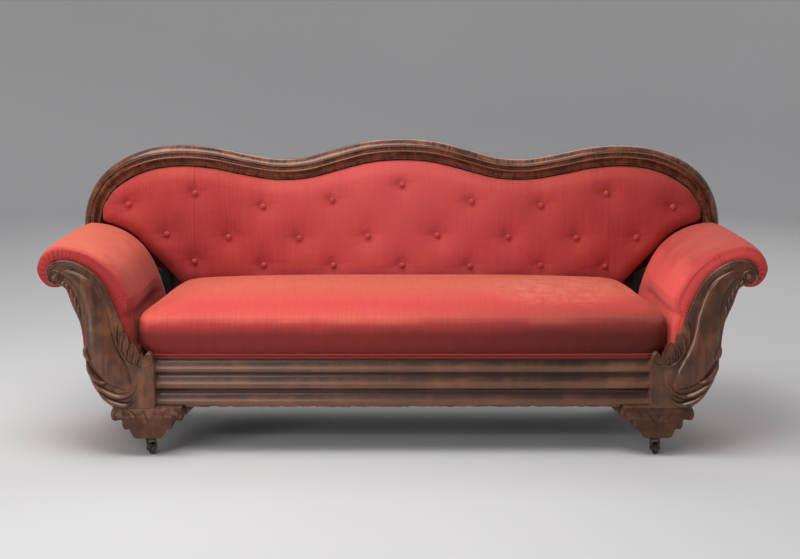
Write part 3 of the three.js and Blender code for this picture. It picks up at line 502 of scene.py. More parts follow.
def velvet(name, stretch, ribs, contrast, upward, patch_scale=5, shaded=0.0, shade_from=0.42, extra=None,
           right=1.0, lit=0.0):
    """Crimson velvet. Where it faces up it goes towards salmon, partly a real fade and partly a painted highlight,
    and where it stands upright it gets painted shade.

    To the right its fade and painted highlight are changed by one share, and its upright parts get painted light by
    another.
    """
    material, tree, shader = new_material(
        name, Roughness=0.85, Specular_IOR_Level=0.15, Sheen_Weight=0.3, Sheen_Roughness=0.4,
        Sheen_Tint=(1.0, 0.42, 0.32, 1),
    )
    vector = place(tree)
    nap = grouped(pile, vector, Rib_Stretch=stretch, Ribs=ribs, Patches=patch_scale)
    patch = nap["Patch"]
    facing = split(place(tree, "Normal"))["Z"]
    rises = ramped(plus(facing, times(patch, 0.25)), 0.3, 1.1)
    ribbed = plus(times(nap["Rib"], contrast), 1 - contrast)
    to_right = across_sofa(vector, "X", -0.4, 0.4)
    fade_and_highlight_share = plus(1.0, times(to_right, right - 1.0))
    stands = ramped(minus(facing, times(patch, 0.12)), shade_from, shade_from - 0.42)
    colour = mixed(ribbed, deep_crimson, crimson)
    colour = tinted(colour, patch, 0.3, rose)
    # Salmon on upward faces: partly a real fade, partly a painted highlight.
    colour = tinted(colour, times(rises, fade_and_highlight_share), upward, mixed(ribbed, rose, salmon))
    # Painted light on upright faces to the right, and painted shade on the other upright faces.
    colour = tinted(colour, times(stands, to_right), lit, lit_crimson)
    colour = tinted(colour, times(stands, minus(1.0, times(to_right, lit))), shaded, shadow_crimson)
    height = nap["Height"]
    if extra:
        colour, height = extra(tree, vector, colour, height)
    painted(shader, colour, height, 0.35, 0.0012)
    return material


back_seam_x = 0.7
dimple_shade_crimson = (0.17, 0.018, 0.02)


def back_seams_and_shading(tree, vector, colour, height):
    """Two upright seams of the back's widths with painted shade along them, a painted pool of light on its middle,
    painted shade at its ends and painted shade by its buttons.
    """
    from_middle = maths("ABSOLUTE", split(vector)["X"])
    seam = ramped(maths("ABSOLUTE", minus(from_middle, back_seam_x)), 0.0028, 0.0004)
    seam = times(seam, ramped(speckle(vector, 8, 2), 0.3, 0.6))
    left_end = times(across_sofa(vector, "X", -0.4, -1.1), 0.6)
    end_shade = maths("MAXIMUM", across_sofa(vector, "X", 0.3, 1.1), left_end)
    # A painted pool of light on the middle, and painted shade at the ends.
    colour = tinted(colour, ramped(from_middle, 0.75, 0.0), 0.45, (0.66, 0.105, 0.11))
    colour = tinted(colour, end_shade, 0.5, (0.25, 0.028, 0.025))
    colour = tinted(colour, seam, 0.4, seam_shadow)
    # Painted shade beside each button.
    colour = tinted(colour, marked(tree, "dimple_shade"), 0.5, dimple_shade_crimson)
    return colour, minus(height, times(seam, 0.9))


def brushed_patch_and_shade(tree, vector, colour, height):
    """The seat's redder front edge, painted shade on its right-hand front, and where hands have brushed its pile."""
    smudge = speckle(vector, 26, 5, 0.65)
    centred = put(tree, "ShaderNodeMapping", Vector=vector, Location=(-1.5, 0.1, 0), Scale=(3, 4.6, 0)).outputs[0]
    inside = ramped(minus(vector_maths("LENGTH", centred), times(smudge, 0.7)), 0.6, 0.0)
    fore = times(across_sofa(vector, "Y", -0.03, -0.27), across_sofa(vector, "Z", 0.42, 0.46))
    # Painted shade on the right-hand front.
    right_front_shade = times(across_sofa(vector, "Z", 0.47, 0.43), across_sofa(vector, "X", -0.1, 0.75))
    colour = tinted(colour, fore, 0.95, (0.72, 0.047, 0.062))
    colour = tinted(colour, times(inside, ramped(smudge, 0.36, 0.66)), 0.6, (0.78, 0.24, 0.17))
    return tinted(colour, right_front_shade, 0.6, (0.035, 0.015, 0.011)), height


pucker_pitch = 0.0105
pucker_reach = 0.009
facing_band_reach = 0.038


def arm_puckers(tree, vector, colour, height):
    """Small gathers where the arm's velvet is drawn over its front edge, with painted shade in a band along the
    facing and in the troughs of the gathers.
    """
    inset = marked(tree, "inset")
    wander = times(speckle(vector, 40, 2), 5)
    wave = maths("SINE", plus(times(marked(tree, "around"), full_turn / pucker_pitch), wander))
    reach = times(speckle(vector, 30, 2), 2 * pucker_reach)
    near = ramped(minus(inset, reach), 0.005, -0.006)
    gathered = times(near, ramped(speckle(vector, 15, 1), 0.48, 0.62))
    fold = times(wave, 0.5, gathered)
    # Painted shade in a band along the facing, where the roll turns to the front, and in the troughs of the gathers.
    colour = tinted(colour, ramped(inset, facing_band_reach, 0.004), 0.55, (0.5, 0.04, 0.042))
    colour = tinted(colour, ramped(fold, 0.05, -0.45), 0.35, fold_shadow)
    return colour, plus(height, times(fold, 1.4))


back_velvet = velvet("back_velvet", upright_ribs, 420, 0.8, 0.35, 4, extra=back_seams_and_shading)
seat_velvet = velvet("seat_velvet", upright_ribs, 420, 0.55, 0.95, 4, 0.75, 0.3, brushed_patch_and_shade)
arm_velvet = velvet("arm_velvet", level_ribs, 320, 0.4, 0.95, 9, 0.5, 0.75, arm_puckers, 0.3, 0.9)
outside_velvet = velvet("outside_velvet", upright_ribs, 280, 0.5, 0.4, shaded=0.3)
trim_velvet = velvet("trim_velvet", no_ribs, 500, 0.5, 0.4, 30)
welt_velvet = velvet("welt_velvet", no_ribs, 500, 0.5, 0.1, 30, 0.8, 0.95)


# Woods
mahogany_dark = (0.013, 0.0055, 0.0035)
mahogany_mid = (0.056, 0.02, 0.011)
mahogany_red = (0.25, 0.075, 0.028)
mahogany_warm = (0.27, 0.105, 0.045)
rubbed_and_highlit_edge = (0.3, 0.15, 0.09)
along_height = (1, 1, 0.12)


def mahogany(name, source, stretch, grain, figure_scale, red, dark, warm, roughness=0.3, wax=0.16, coat=0.8,
             ridge=None):
    """Waxed mahogany, with shares of red-brown streaks, of dark figure and of warm patches.

    A ridge gives where the relief gets its darkest painted shade, where it is plain, where it gets its brightest
    painted highlight, and how strong that highlight is.
    """
    material, tree, shader = new_material(
        name, Specular_IOR_Level=0.5, Specular_Tint=(1.0, 0.6, 0.46, 1), Coat_Weight=coat, Coat_Roughness=wax,
        Coat_IOR=1.5,
    )
    wood = grouped(figure, place(tree, source), Grain_Stretch=stretch, Grain=grain, Figure=figure_scale)
    age = grouped(wear, place(tree))
    colour = mixed(times(wood["Streak"], red), mahogany_mid, mahogany_red)
    colour = tinted(colour, wood["Warm"], warm, mahogany_warm)
    colour = tinted(colour, wood["Dark"], dark, mahogany_dark)
    # Darker in hollows.
    colour = tinted(colour, age["Hollow"], 0.6, mahogany_dark)
    colour = tinted(colour, age["Edge"], 0.5, rubbed_and_highlit_edge)
    if ridge:
        hollow, level, top, rubbed = ridge
        relief = marked(tree, "relief")
        # Painted shade where the relief sinks back, and a painted highlight on its ridges in the colour of worn
        # edges.
        colour = tinted(colour, ramped(relief, level, hollow), 0.8, mahogany_dark)
        colour = tinted(colour, ramped(relief, level, top), rubbed, rubbed_and_highlit_edge)
    rough = plus(times(wood["Streak"], 0.12), roughness)
    feed(shader.inputs["Roughness"], plus(rough, times(age["Hollow"], 0.2)))
    painted(shader, colour, wood["Pore"], 0.12, 0.0004)
    return material


carved_mahogany = mahogany("carved_mahogany", "Object", along_height, 60, 9, 0.42, 0.5, 0.45, 0.32, 0.17, 0.62)
foot_mahogany = mahogany("foot_mahogany", "Object", along_height, 60, 9, 0.3, 0.6, 0.15, 0.42, 0.3, 0.25)
chipped_veneer = mahogany("chipped_veneer", "Object", (0.2, 1, 1), 60, 12, 0.9, 0.1, 1.0, 0.5, 0.4)
crest_veneer = mahogany(
    "crest_veneer", "UV", (1, 0.05, 1), 150, 13, 0.95, 0.7, 0.6, 0.27, 0.17, 0.7, (-6, 0.93, 0.99, 0.45)
)
rail_veneer = mahogany(
    "rail_veneer", "UV", (1, 0.15, 1), 42, 4.5, 0.3, 0.75, 0.3, 0.3, 0.26, 0.6, (0.3, 0.66, 0.92, 0.32)
)


def frame_timber():
    """Stained beech of the inner frame."""
    material, tree, shader = new_material("frame_timber", Roughness=0.7)
    wood = grouped(figure, place(tree), Grain_Stretch=(0.08, 1, 1), Grain=90, Figure=5)
    colour = mixed(wood["Streak"], (0.075, 0.042, 0.024), (0.13, 0.078, 0.045))
    colour = tinted(colour, wood["Dark"], 0.4, (0.04, 0.022, 0.014))
    painted(shader, colour, wood["Pore"], 0.3, 0.0006)
    return material


def weave(name, thread, pale, dark):
    """Plain woven cloth, with threads at a pitch in metres."""
    material, tree, shader = new_material(name, Roughness=0.9, Specular_IOR_Level=0.2)
    vector = place(tree)
    way = split(vector)
    warp = maths("SINE", times(way["X"], full_turn / thread))
    weft = maths("SINE", times(plus(way["Y"], way["Z"]), full_turn / thread))
    cross = times(warp, weft)
    colour = mixed(ramped(cross, -0.6, 0.6), dark, pale)
    colour = tinted(colour, speckle(vector, 12, 4), 0.4, dark)
    painted(shader, colour, cross, 0.5, thread / 4)
    return material


def metal(name, pale, dark, roughness, metallic=1.0):
    """Worn cast metal, with tarnish in patches."""
    material, tree, shader = new_material(name, Metallic=metallic)
    vector = place(tree)
    patch = ramped(speckle(vector, 90, 4, 0.6), 0.4, 0.65)
    feed(shader.inputs["Roughness"], plus(times(patch, 0.3), roughness))
    painted(shader, mixed(patch, pale, dark), speckle(vector, 500, 2), 0.2, 0.0004)
    return material


timber = frame_timber()
jute = weave("jute_webbing", 0.004, (0.5, 0.37, 0.2), (0.27, 0.18, 0.09))
cambric = weave("cambric", 0.0016, (0.03, 0.029, 0.027), (0.014, 0.014, 0.013))
back_cloth = weave("back_cloth", 0.0018, (0.4, 0.05, 0.05), (0.22, 0.022, 0.026))
brass = metal("aged_brass", (0.2, 0.15, 0.085), (0.06, 0.045, 0.03), 0.36)
iron = metal("worn_iron", (0.09, 0.082, 0.075), (0.03, 0.026, 0.022), 0.42, 0.8)


# Crest
crest_low, crest_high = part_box("crest_right")
crest_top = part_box("crest_center")[1].z
crest_half = crest_high.x
crest_width = 0.069
crest_end_share = 0.81
crest_taper = 0.16
crest_edge_shares = [
    (0, 1), (0.11, 0.974), (0.213, 0.895), (0.3, 0.824), (0.385, 0.808), (0.485, 0.855), (0.587, 0.919),
    (0.69, 0.94), (0.79, 0.905), (0.872, 0.808), (0.938, 0.652), (0.978, 0.46), (0.996, 0.256), (1, 0),
]
valley_share = 0.385
crest_joint = 0.0004
# Width from the outer edge and height from the back, in shares of the crest's width and thickness
crest_profile_shares = [
    (0, 0), (0, 0.62), (0.03, 0.7), (0.08, 0.785), (0.14, 0.86), (0.2, 0.915), (0.24, 0.94), (0.255, 0.93),
    (0.272, 0.965), (0.3, 1), (0.33, 0.985), (0.352, 0.925), (0.38, 0.885), (0.42, 0.868), (0.46, 0.88),
    (0.49, 0.92), (0.515, 0.965), (0.545, 0.99), (0.575, 0.975), (0.6, 0.92), (0.62, 0.87), (0.66, 0.815),
    (0.71, 0.76), (0.77, 0.72), (0.83, 0.7), (0.865, 0.705), (0.885, 0.765), (0.91, 0.8), (0.94, 0.79),
    (0.96, 0.74), (0.975, 0.7), (1, 0.68), (1, 0),
]


def crest_line():
    """Points along the crest's top edge, from its left foot to its right foot, with the crest's width there."""
    half = [(x * crest_half, crest_low.z + z * (crest_top - crest_low.z)) for x, z in crest_edge_shares]
    line = smooth_line([(-x, z) for x, z in half[1:]][::-1] + half, 481)
    from_end = np.minimum(np.linspace(0, 1, len(line)), np.linspace(1, 0, len(line)))
    share = part_of(from_end, crest_taper)
    return np.column_stack([line, crest_end_share + (1 - crest_end_share) * share**2 * (3 - 2 * share)])


def make_crest():
    profile = [(w * crest_width, h * (crest_high.y - crest_low.y)) for w, h in crest_profile_shares]
    line = crest_line()
    valley = valley_share * crest_half
    spans = {
        "crest_left": (-crest_half - 1, -valley - crest_joint),
        "crest_center": (-valley + crest_joint, valley - crest_joint),
        "crest_right": (valley + crest_joint, crest_half + 1),
    }
    for name, (start, end) in spans.items():
        rows = [line[(line[:, 0] > start) & (line[:, 0] < end)]]
        for edge, at in ((start, 0), (end, 2)):
            if abs(edge) < crest_half:
                rows.insert(at, [edge, *(np.interp(edge, line[:, 0], line[:, k]) for k in (1, 2))])
        inside = np.vstack(rows)
        piece = moulding("veneered_" + name, inside[:, :2], profile, crest_high.y, inside[:, 2])
        finished(mark_relief(piece, crest_low, crest_high), crest_veneer, "crest_veneer", name, smooth=50)


# Front rail
# Drop from the top and height from the back, in shares of each moulding's height and depth
torus_shares = [
    (0, 0.4), (0.08, 0.42), (0.18, 0.5), (0.32, 0.63), (0.47, 0.78), (0.62, 0.91), (0.74, 0.985), (0.82, 1),
    (0.89, 0.95), (0.94, 0.82), (0.97, 0.65), (1, 0.5),
]
ogee_shares = [
    (0, 0.32), (0.03, 0.31), (0.08, 0.36), (0.14, 0.47), (0.21, 0.64), (0.29, 0.83), (0.36, 0.96), (0.41, 1),
    (0.455, 0.95), (0.49, 0.8), (0.52, 0.6), (0.545, 0.43), (0.575, 0.33), (0.615, 0.32), (0.66, 0.38),
    (0.72, 0.52), (0.79, 0.71), (0.86, 0.87), (0.92, 0.96), (0.965, 1), (0.99, 0.97), (1, 0.9),
]


def make_front_rail():
    """Runs each profile along the front rail, inside the box of its node, over a chipped strip."""
    for name, shares, count in (("torus", torus_shares, 36), ("ogee", ogee_shares, 60)):
        low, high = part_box("front_rail_" + name)
        depth = high.y - low.y
        drop = high.z - low.z
        profile = [(0, 0), *[(d * drop, h * depth) for d, h in smooth_line(shares, count)], (drop, 0)]
        path = np.column_stack([np.linspace(low.x, high.x, 120), np.full(120, high.z)])
        piece = mark_relief(moulding("rail_" + name, path, profile, high.y), low, high)
        finished(piece, rail_veneer, "rail_veneer", "front_rail_" + name)
    chipped_strip()


def chipped_strip(steps=260, chipping=0.9):
    """The thin strip under the rail, with its lower edge chipped."""
    low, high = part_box("front_rail_bead")
    x = np.linspace(low.x, high.x, steps)
    rng = np.random.default_rng(7)
    chips = np.convolve(rng.random(steps) ** 6, np.ones(3) / 3, "same") * (high.z - low.z) * chipping
    top = np.column_stack([x, np.full(steps, high.z)])
    bottom = np.column_stack([x, low.z + chips])[::-1]
    strip = board("rail_strip", np.vstack([top, bottom]), low.y, high.y, 0.0006)
    finished(strip, chipped_veneer, "mahogany", "front_rail_bead")


# Arm facings, drawn for the right-hand arm and mirrored
facing_low, facing_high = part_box("arm_facing_right")
facing_corner = np.array([facing_low.x, facing_low.z])
facing_size = np.array([facing_high.x - facing_low.x, 0.459])
facing_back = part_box("arm_pad_right")[0].y
carving_depth = 0.01
board_front = facing_low.y + carving_depth
board_edge = 0.0015
cloth_gap = 0.0003
block_lap = 0.004

scroll_edge_shares = [
    (0.323, 0.603), (0.352, 0.671), (0.4, 0.755), (0.487, 0.867), (0.619, 0.95), (0.769, 0.996),
    (0.9, 0.995), (0.978, 0.962), (1, 0.91), (0.968, 0.855), (0.91, 0.841), (0.868, 0.856),
]
outer_edge_shares = [
    (0.838, 0.828), (0.789, 0.778), (0.748, 0.69), (0.69, 0.6), (0.662, 0.5), (0.654, 0.42),
    (0.645, 0.35), (0.629, 0.272), (0.6, 0.19), (0.55, 0.12), (0.483, 0.06), (0.395, 0),
]
# Each lobe of the leaf on the inner edge: where it is pulled to, and where it ends
leaf_lobe_shares = [
    ((0.12, 0.4), (0.125, 0.35)), ((0.14, 0.41), (0.185, 0.437)), ((0.19, 0.45), (0.232, 0.431)),
    ((0.225, 0.5), (0.283, 0.514)), ((0.28, 0.565), (0.323, 0.603)),
]
block_top_shares = [(0, 0), (0, 0.34), (0.006, 0.365), (0.03, 0.383), (0.06, 0.383), (0.085, 0.36), (0.09, 0.34)]
eye_centre_share = (0.915, 0.884)
eye_domes = [(0.013, 0.0075), (0.0055, 0.0095)]
volute_start = math.radians(-120)
volute_turns = 1.35
volute_radius = 0.0245
volute_closing = 0.008
body_shares = [
    (0.862, 0.915), (0.8, 0.912), (0.715, 0.879), (0.621, 0.813), (0.566, 0.7215), (0.53, 0.6075),
    (0.52, 0.5165), (0.498, 0.4115), (0.456, 0.3275), (0.391, 0.2575), (0.305, 0.185), (0.245, 0.14),
]
body_widths = [0.006, 0.017, 0.025, 0.029, 0.032, 0.037, 0.041, 0.045, 0.048, 0.047, 0.038, 0.012]
rim_offsets = [0.0035, 0.0085, 0.0135]
rim_widths = [0.0012, 0.0021, 0.0023, 0.0021, 0.0016]
# Leaf lobes as base, bend and tip
inner_lobes = [
    ((0.352, 0.41), (0.352, 0.52), (0.326, 0.6)),
    ((0.312, 0.37), (0.306, 0.45), (0.277, 0.515)),
    ((0.268, 0.335), (0.258, 0.39), (0.229, 0.445)),
    ((0.215, 0.31), (0.21, 0.37), (0.186, 0.436)),
    ((0.165, 0.297), (0.156, 0.33), (0.13, 0.362)),
]
outer_lobes = [
    ((0.85, 0.862), (0.835, 0.838), (0.822, 0.818)),
    ((0.81, 0.845), (0.79, 0.805), (0.778, 0.778)),
    ((0.768, 0.81), (0.756, 0.76), (0.75, 0.715)),
    ((0.73, 0.76), (0.728, 0.7), (0.722, 0.648)),
    ((0.7, 0.7), (0.7, 0.64), (0.692, 0.598)),
]
fronds = [
    [(0.65, 0.44), (0.638, 0.37), (0.585, 0.305)],
    [(0.64, 0.33), (0.622, 0.27), (0.56, 0.205), (0.486, 0.175), (0.414, 0.206)],
    [(0.612, 0.235), (0.56, 0.165), (0.463, 0.11), (0.336, 0.078), (0.232, 0.1), (0.17, 0.16)],
    [(0.56, 0.14), (0.5, 0.09), (0.415, 0.045), (0.275, 0.022), (0.19, 0.07)],
]
leaf_spine = [
    (0.378, 0.56), (0.366, 0.5), (0.335, 0.425), (0.28, 0.35), (0.215, 0.3), (0.147, 0.288), (0.085, 0.29),
]
block_scroll = [
    (0.12, 0.288), (0.07, 0.29), (0.03, 0.305), (0.012, 0.336), (0.022, 0.366), (0.054, 0.372), (0.078, 0.353),
    (0.066, 0.333), (0.05, 0.338),
]


def arm(points):
    """Shares of the facing's reach and height as X and Z."""
    return facing_corner + np.atleast_2d(np.array(points, float)) * facing_size


def facing_outline():
    shares = [*block_top_shares]
    for pull, end in leaf_lobe_shares:
        shares.extend(tuple(p) for p in bow(shares[-1], pull, end))
    scroll = smooth_line(arm(scroll_edge_shares), 70)
    outer = smooth_line(arm(outer_edge_shares), 50)
    return np.vstack([arm(shares)[:-1], scroll, outer])


def stroke(shares, widths, rise, ridge=0.0, count=36):
    """A carved stroke along a line of shares. Its half widths are in metres, and a ridge may run along it."""
    line = smooth_line(arm(shares), count)
    radii = np.interp(np.linspace(0, 1, count), np.linspace(0, 1, len(widths)), widths)
    turns = np.linspace(0, full_turn, 14, endpoint=False)
    peak = 1 + ridge * np.maximum(np.sin(turns), 0) ** 6
    profile = np.column_stack([np.cos(turns), np.sin(turns) * peak * rise / max(widths)])
    return merged(swept("stroke", line, profile, board_front, radii))


def volute_shares():
    """The spiral round the eye of the scroll."""
    t = np.linspace(0, 1, 40)
    angle = volute_start - full_turn * volute_turns * t
    radius = volute_radius - volute_closing * t
    return eye_centre_share + np.column_stack([radius * np.cos(angle), radius * np.sin(angle)]) / facing_size


def carve_arm():
    """The board and block of one facing, with every stroke of its carving."""
    outline = facing_outline()
    rail_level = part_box("front_rail")[1].z
    low_edge = outline[outline[:, 1] < rail_level]
    low_edge = low_edge[low_edge[:, 0] > facing_low.x + facing_size[0] / 3]
    corner = [(facing_low.x, facing_low.z), (facing_low.x, rail_level), (low_edge[0][0], rail_level)]
    pieces = [
        board("facing", outline, board_front, facing_back - cloth_gap, board_edge),
        board("block", np.vstack([corner, low_edge]), facing_back - block_lap, facing_high.y, board_edge),
        stroke(body_shares, body_widths, 0.019, count=70),
    ]
    scroll = smooth_line(arm(scroll_edge_shares), 90)
    for offset in rim_offsets:
        rim = (pushed(scroll, -offset) - facing_corner) / facing_size
        pieces.append(stroke(rim, rim_widths, 0.0026, count=90))
    pieces.append(stroke(volute_shares(), [0.0024, 0.003, 0.0022], 0.0045, count=60))
    for lobe in inner_lobes:
        pieces.append(stroke(lobe, [0.002, 0.0062, 0.0056, 0.001], 0.006, 0.45, 16))
    for lobe in outer_lobes:
        pieces.append(stroke(lobe, [0.004, 0.0075, 0.006, 0.001], 0.0045, 0.4, 14))
    for frond in fronds:
        pieces.append(stroke(frond, [0.002, 0.0085, 0.0115, 0.0095, 0.003], 0.0105, 0.3))
    pieces.append(stroke(leaf_spine, [0.0022, 0.0034, 0.0042, 0.004, 0.002], 0.0065, 0.3))
    pieces.append(stroke(block_scroll, [0.002, 0.0042, 0.0042, 0.0032, 0.002], 0.0055, 0.2, 50))
    x, z = arm(eye_centre_share)[0]
    for radius, rise in eye_domes:
        bpy.ops.mesh.primitive_uv_sphere_add(segments=28, ring_count=14, radius=1, location=(x, board_front, z))
        eye = bpy.context.object
        eye.scale = (radius, rise, radius)
        pieces.append(settled(eye))
    return joined("carved_facing_right", pieces)


def make_facings():
    for side, piece in both_sides(carve_arm()):
        finished(piece, carved_mahogany, "mahogany", "arm_facing_" + side)


# Feet
# Half widths and heights, in shares of the foot's half width and height
foot_shares = [
    (0.32, 0), (0.4, 0.06), (0.455, 0.17), (0.49, 0.28), (0.53, 0.3), (0.6, 0.285), (0.655, 0.32), (0.69, 0.42),
    (0.695, 0.56), (0.73, 0.6), (0.8, 0.59), (0.88, 0.575), (0.95, 0.6), (0.99, 0.68), (1, 0.78), (0.975, 0.9),
    (0.93, 1),
]
foot_cuts = [
    [(-0.6, 0.96), (-0.5, 0.85), (-0.45, 0.72), (-0.47, 0.6)],
    [(-0.33, 0.92), (-0.22, 0.74), (-0.09, 0.555)],
    [(-0.05, 0.5), (0.04, 0.72), (0.115, 0.93)],
    [(0.55, 0.96), (0.38, 0.82), (0.31, 0.66), (0.36, 0.5)],
    [(0.74, 0.9), (0.86, 0.86), (0.89, 0.74), (0.81, 0.67), (0.76, 0.74)],
    [(-0.74, 0.9), (-0.86, 0.86), (-0.89, 0.74), (-0.81, 0.67), (-0.76, 0.74)],
]
cut_half_width = 0.0026
cut_depth = 0.0017


def make_foot():
    """The front left foot, with its shallow carving."""
    low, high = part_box("foot_front_left")
    middle = (low.x + high.x) / 2
    half = (high.x - low.x) / 2
    height = high.z - low.z
    side = smooth_line([(x * half, low.z + z * height) for x, z in foot_shares], 60)
    outline = np.vstack([side, side[::-1] * (-1, 1)]) + (middle, 0)
    foot = board("scrolled_foot_front_left", outline, low.y, high.y, 0.002)
    turns = np.linspace(0, full_turn, 12, endpoint=False)
    oval = np.column_stack([cut_half_width * np.cos(turns), cut_depth * np.sin(turns)])
    for cut in foot_cuts:
        line = smooth_line([(middle - x * half, low.z + z * height) for x, z in cut], 14)
        widths = 0.35 + 0.65 * np.sin(np.linspace(0.1, math.pi - 0.1, len(line)))
        groove = merged(swept("groove", line, oval, low.y, widths))
        applied(foot, "BOOLEAN", object=groove, operation="DIFFERENCE", solver="EXACT")
        bpy.data.objects.remove(groove)
    return foot


def make_feet():
    front = make_foot()
    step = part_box("foot_rear_left")[0].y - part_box("foot_front_left")[0].y
    alone(front)
    bpy.ops.object.duplicate()
    rear = bpy.context.object
    rear.name = "scrolled_foot_rear_left"
    reshaped(rear, coordinates(rear) + (0, step, 0))
    left = {"foot_front_left": front, "foot_rear_left": rear}
    names = {name: name.replace("left", "right") for name in left}
    right = {names[name]: mirrored(foot, "scrolled_" + names[name]) for name, foot in left.items()}
    for node, foot in {**left, **right}.items():
        finished(foot, foot_mahogany, "mahogany", node, smooth=30)


# Padding
def soft_copy(node, name, voxel, relax, rim=None):
    """A remeshed copy of a soft solid, with its facets relaxed behind a rim of Y that keeps its place."""
    copy = add_object(name, frame["nodes"][node].data.copy())
    merged(copy, 1e-4)
    copy.data.remesh_voxel_size = voxel
    bpy.ops.object.voxel_remesh()
    group = ""
    if rim is not None:
        group = "free"
        free = copy.vertex_groups.new(name=group)
        for k in range(1, 6):
            inside = np.flatnonzero(coordinates(copy)[:, 1] > rim + 0.005 * k)
            free.add([int(v) for v in inside], k / 5, "REPLACE")
    applied(copy, "SMOOTH", factor=0.5, iterations=relax, vertex_group=group)
    copy.vertex_groups.clear()
    return copy


stuffed_cloth = {
    "quality": 4, "mass": 0.4, "tension_stiffness": 18, "compression_stiffness": 18, "bending_stiffness": 0.8,
    "use_pressure": True, "vertex_group_mass": "held",
}


def swell(obj, held, pressure, cap, frames=20):
    """Swells a pad as stuffed cloth, with some points held still, and caps how far a point may move.

    A subdivision finishes it.
    """
    before = coordinates(obj)
    outward = vertex_normals(obj)
    pins = obj.vertex_groups.new(name="held")
    pins.add([int(k) for k in np.flatnonzero(held)], 1, "REPLACE")
    alone(obj)
    cloth = obj.modifiers.new("cloth", "CLOTH")
    for name, value in stuffed_cloth.items():
        setattr(cloth.settings, name, value)
    cloth.settings.uniform_pressure_force = pressure
    cloth.settings.effector_weights.gravity = 0
    cloth.collision_settings.use_collision = False
    cloth.point_cache.frame_end = frames
    for step in range(1, frames + 1):
        bpy.context.scene.frame_set(step)
    bpy.ops.object.modifier_apply(modifier="cloth")
    bpy.context.scene.frame_set(1)
    moved = coordinates(obj) - before
    inward = np.minimum((moved * outward).sum(1), 0)
    moved -= inward[:, None] * outward
    far = np.linalg.norm(moved, axis=1)
    moved *= np.minimum(1, cap / np.maximum(far, 1e-9))[:, None]
    obj.vertex_groups.clear()
    reshaped(obj, before + moved)
    applied(obj, "SUBSURF", levels=1, render_levels=1)


# Buttons
def button_centres():
    """The row, X, front Y and Z of each button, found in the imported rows."""
    centres = []
    for row in ("buttons_top", "buttons_middle", "buttons_bottom"):
        co = coordinates(frame["nodes"][row])
        fronts = co[(co[:, 1] < co[:, 1].min() + 0.06) & (co[:, 1] < 0.27)]
        fronts = fronts[np.argsort(fronts[:, 0])]
        cluster = np.cumsum(np.r_[0, np.diff(fronts[:, 0]) > 0.05])
        for k in range(cluster[-1] + 1):
            points = fronts[cluster == k]
            tip = float(points[:, 1].min())
            dome = points[points[:, 1] < tip + 0.0075]
            x, z = ((across.min() + across.max()) / 2 for across in (points[:, 0], dome[:, 2]))
            centres.append((row, x, tip, z))
    return centres


button_places = button_centres()
button_radius = 0.0095
button_height = 0.007


def make_buttons():
    """One covered button, copied to each place and joined by rows."""
    rows = {}
    for k, (row, x, y, z) in enumerate(button_places):
        bpy.ops.mesh.primitive_uv_sphere_add(segments=24, ring_count=12, radius=1)
        button = bpy.context.object
        button.scale = (button_radius, button_height, button_radius)
        co = coordinates(settled(button))
        reach = np.hypot(co[:, 0], co[:, 2]) / button_radius
        co[:, 1] += np.where(co[:, 1] < 0, 0.0012 * hump(reach, 0, 0.35), 0)
        co[:, 1] = np.minimum(co[:, 1], 0.0015)
        sine, cosine = math.sin(0.9 * k), math.cos(0.9 * k)
        turned = np.column_stack([co[:, 0] * cosine - co[:, 2] * sine, co[:, 1], co[:, 0] * sine + co[:, 2] * cosine])
        reshaped(button, turned + (x, y + button_height, z))
        rows.setdefault(row, []).append(button)
    for row, buttons in rows.items():
        piece = joined("covered_" + row, buttons)
        finished(piece, trim_velvet, "button_velvet", row, smooth=180)


# Back
back_thickness = 0.03
dimple_depth = 0.011
dimple_reach = 0.015
dimple_edge = 0.08
button_hold = 0.012
button_gap = 0.0006
button_seat = 0.014
seat_ease = 0.004
crease_depth = 0.0014
crease_reach = 0.05
crease_lift = 0.004
crease_width = 0.0055
crease_slope = 0.1
dimple_shade_shift = (-0.009, 0.01)
dimple_shade_reach = 0.016
corner_fill = 0.009
end_fill = 0.009
rim_fall = 0.012
rim_reach = 0.045


def drawn_by_buttons(co, front):
    """Draws the back's padding in to each button, with a slight crease to either side."""
    for row, x, y, z in button_places:
        across = co[:, 0] - x
        up = co[:, 2] - z
        reach = np.hypot(across, up)
        floor = y + button_height + button_gap
        dimple = np.clip(floor - co[:, 1], 0, dimple_depth * np.exp(-reach / dimple_reach))
        co[:, 1] += np.where(front & (reach < dimple_edge), dimple, 0)
        level = up - crease_slope * across
        crease = crease_depth * hump(level, crease_lift, crease_width) * hump(across, 0, crease_reach)
        co[:, 1] += np.where(front, crease, 0)
        settle = part_of(button_seat - reach, seat_ease)
        co[:, 1] = np.where(front, co[:, 1] + settle * (floor - co[:, 1]), co[:, 1])


def mark_dimple_shade(pad):
    """Marks painted shade beside each button, above it and to its left, where its dimple turns from the light."""
    co = coordinates(pad)
    dimple_shade = np.zeros(len(co))
    for row, x, y, z in button_places:
        reach = np.hypot(co[:, 0] - x - dimple_shade_shift[0], co[:, 2] - z - dimple_shade_shift[1])
        dimple_shade = np.maximum(dimple_shade, hump(reach, 0, dimple_shade_reach))
    mark(pad, "dimple_shade", dimple_shade)


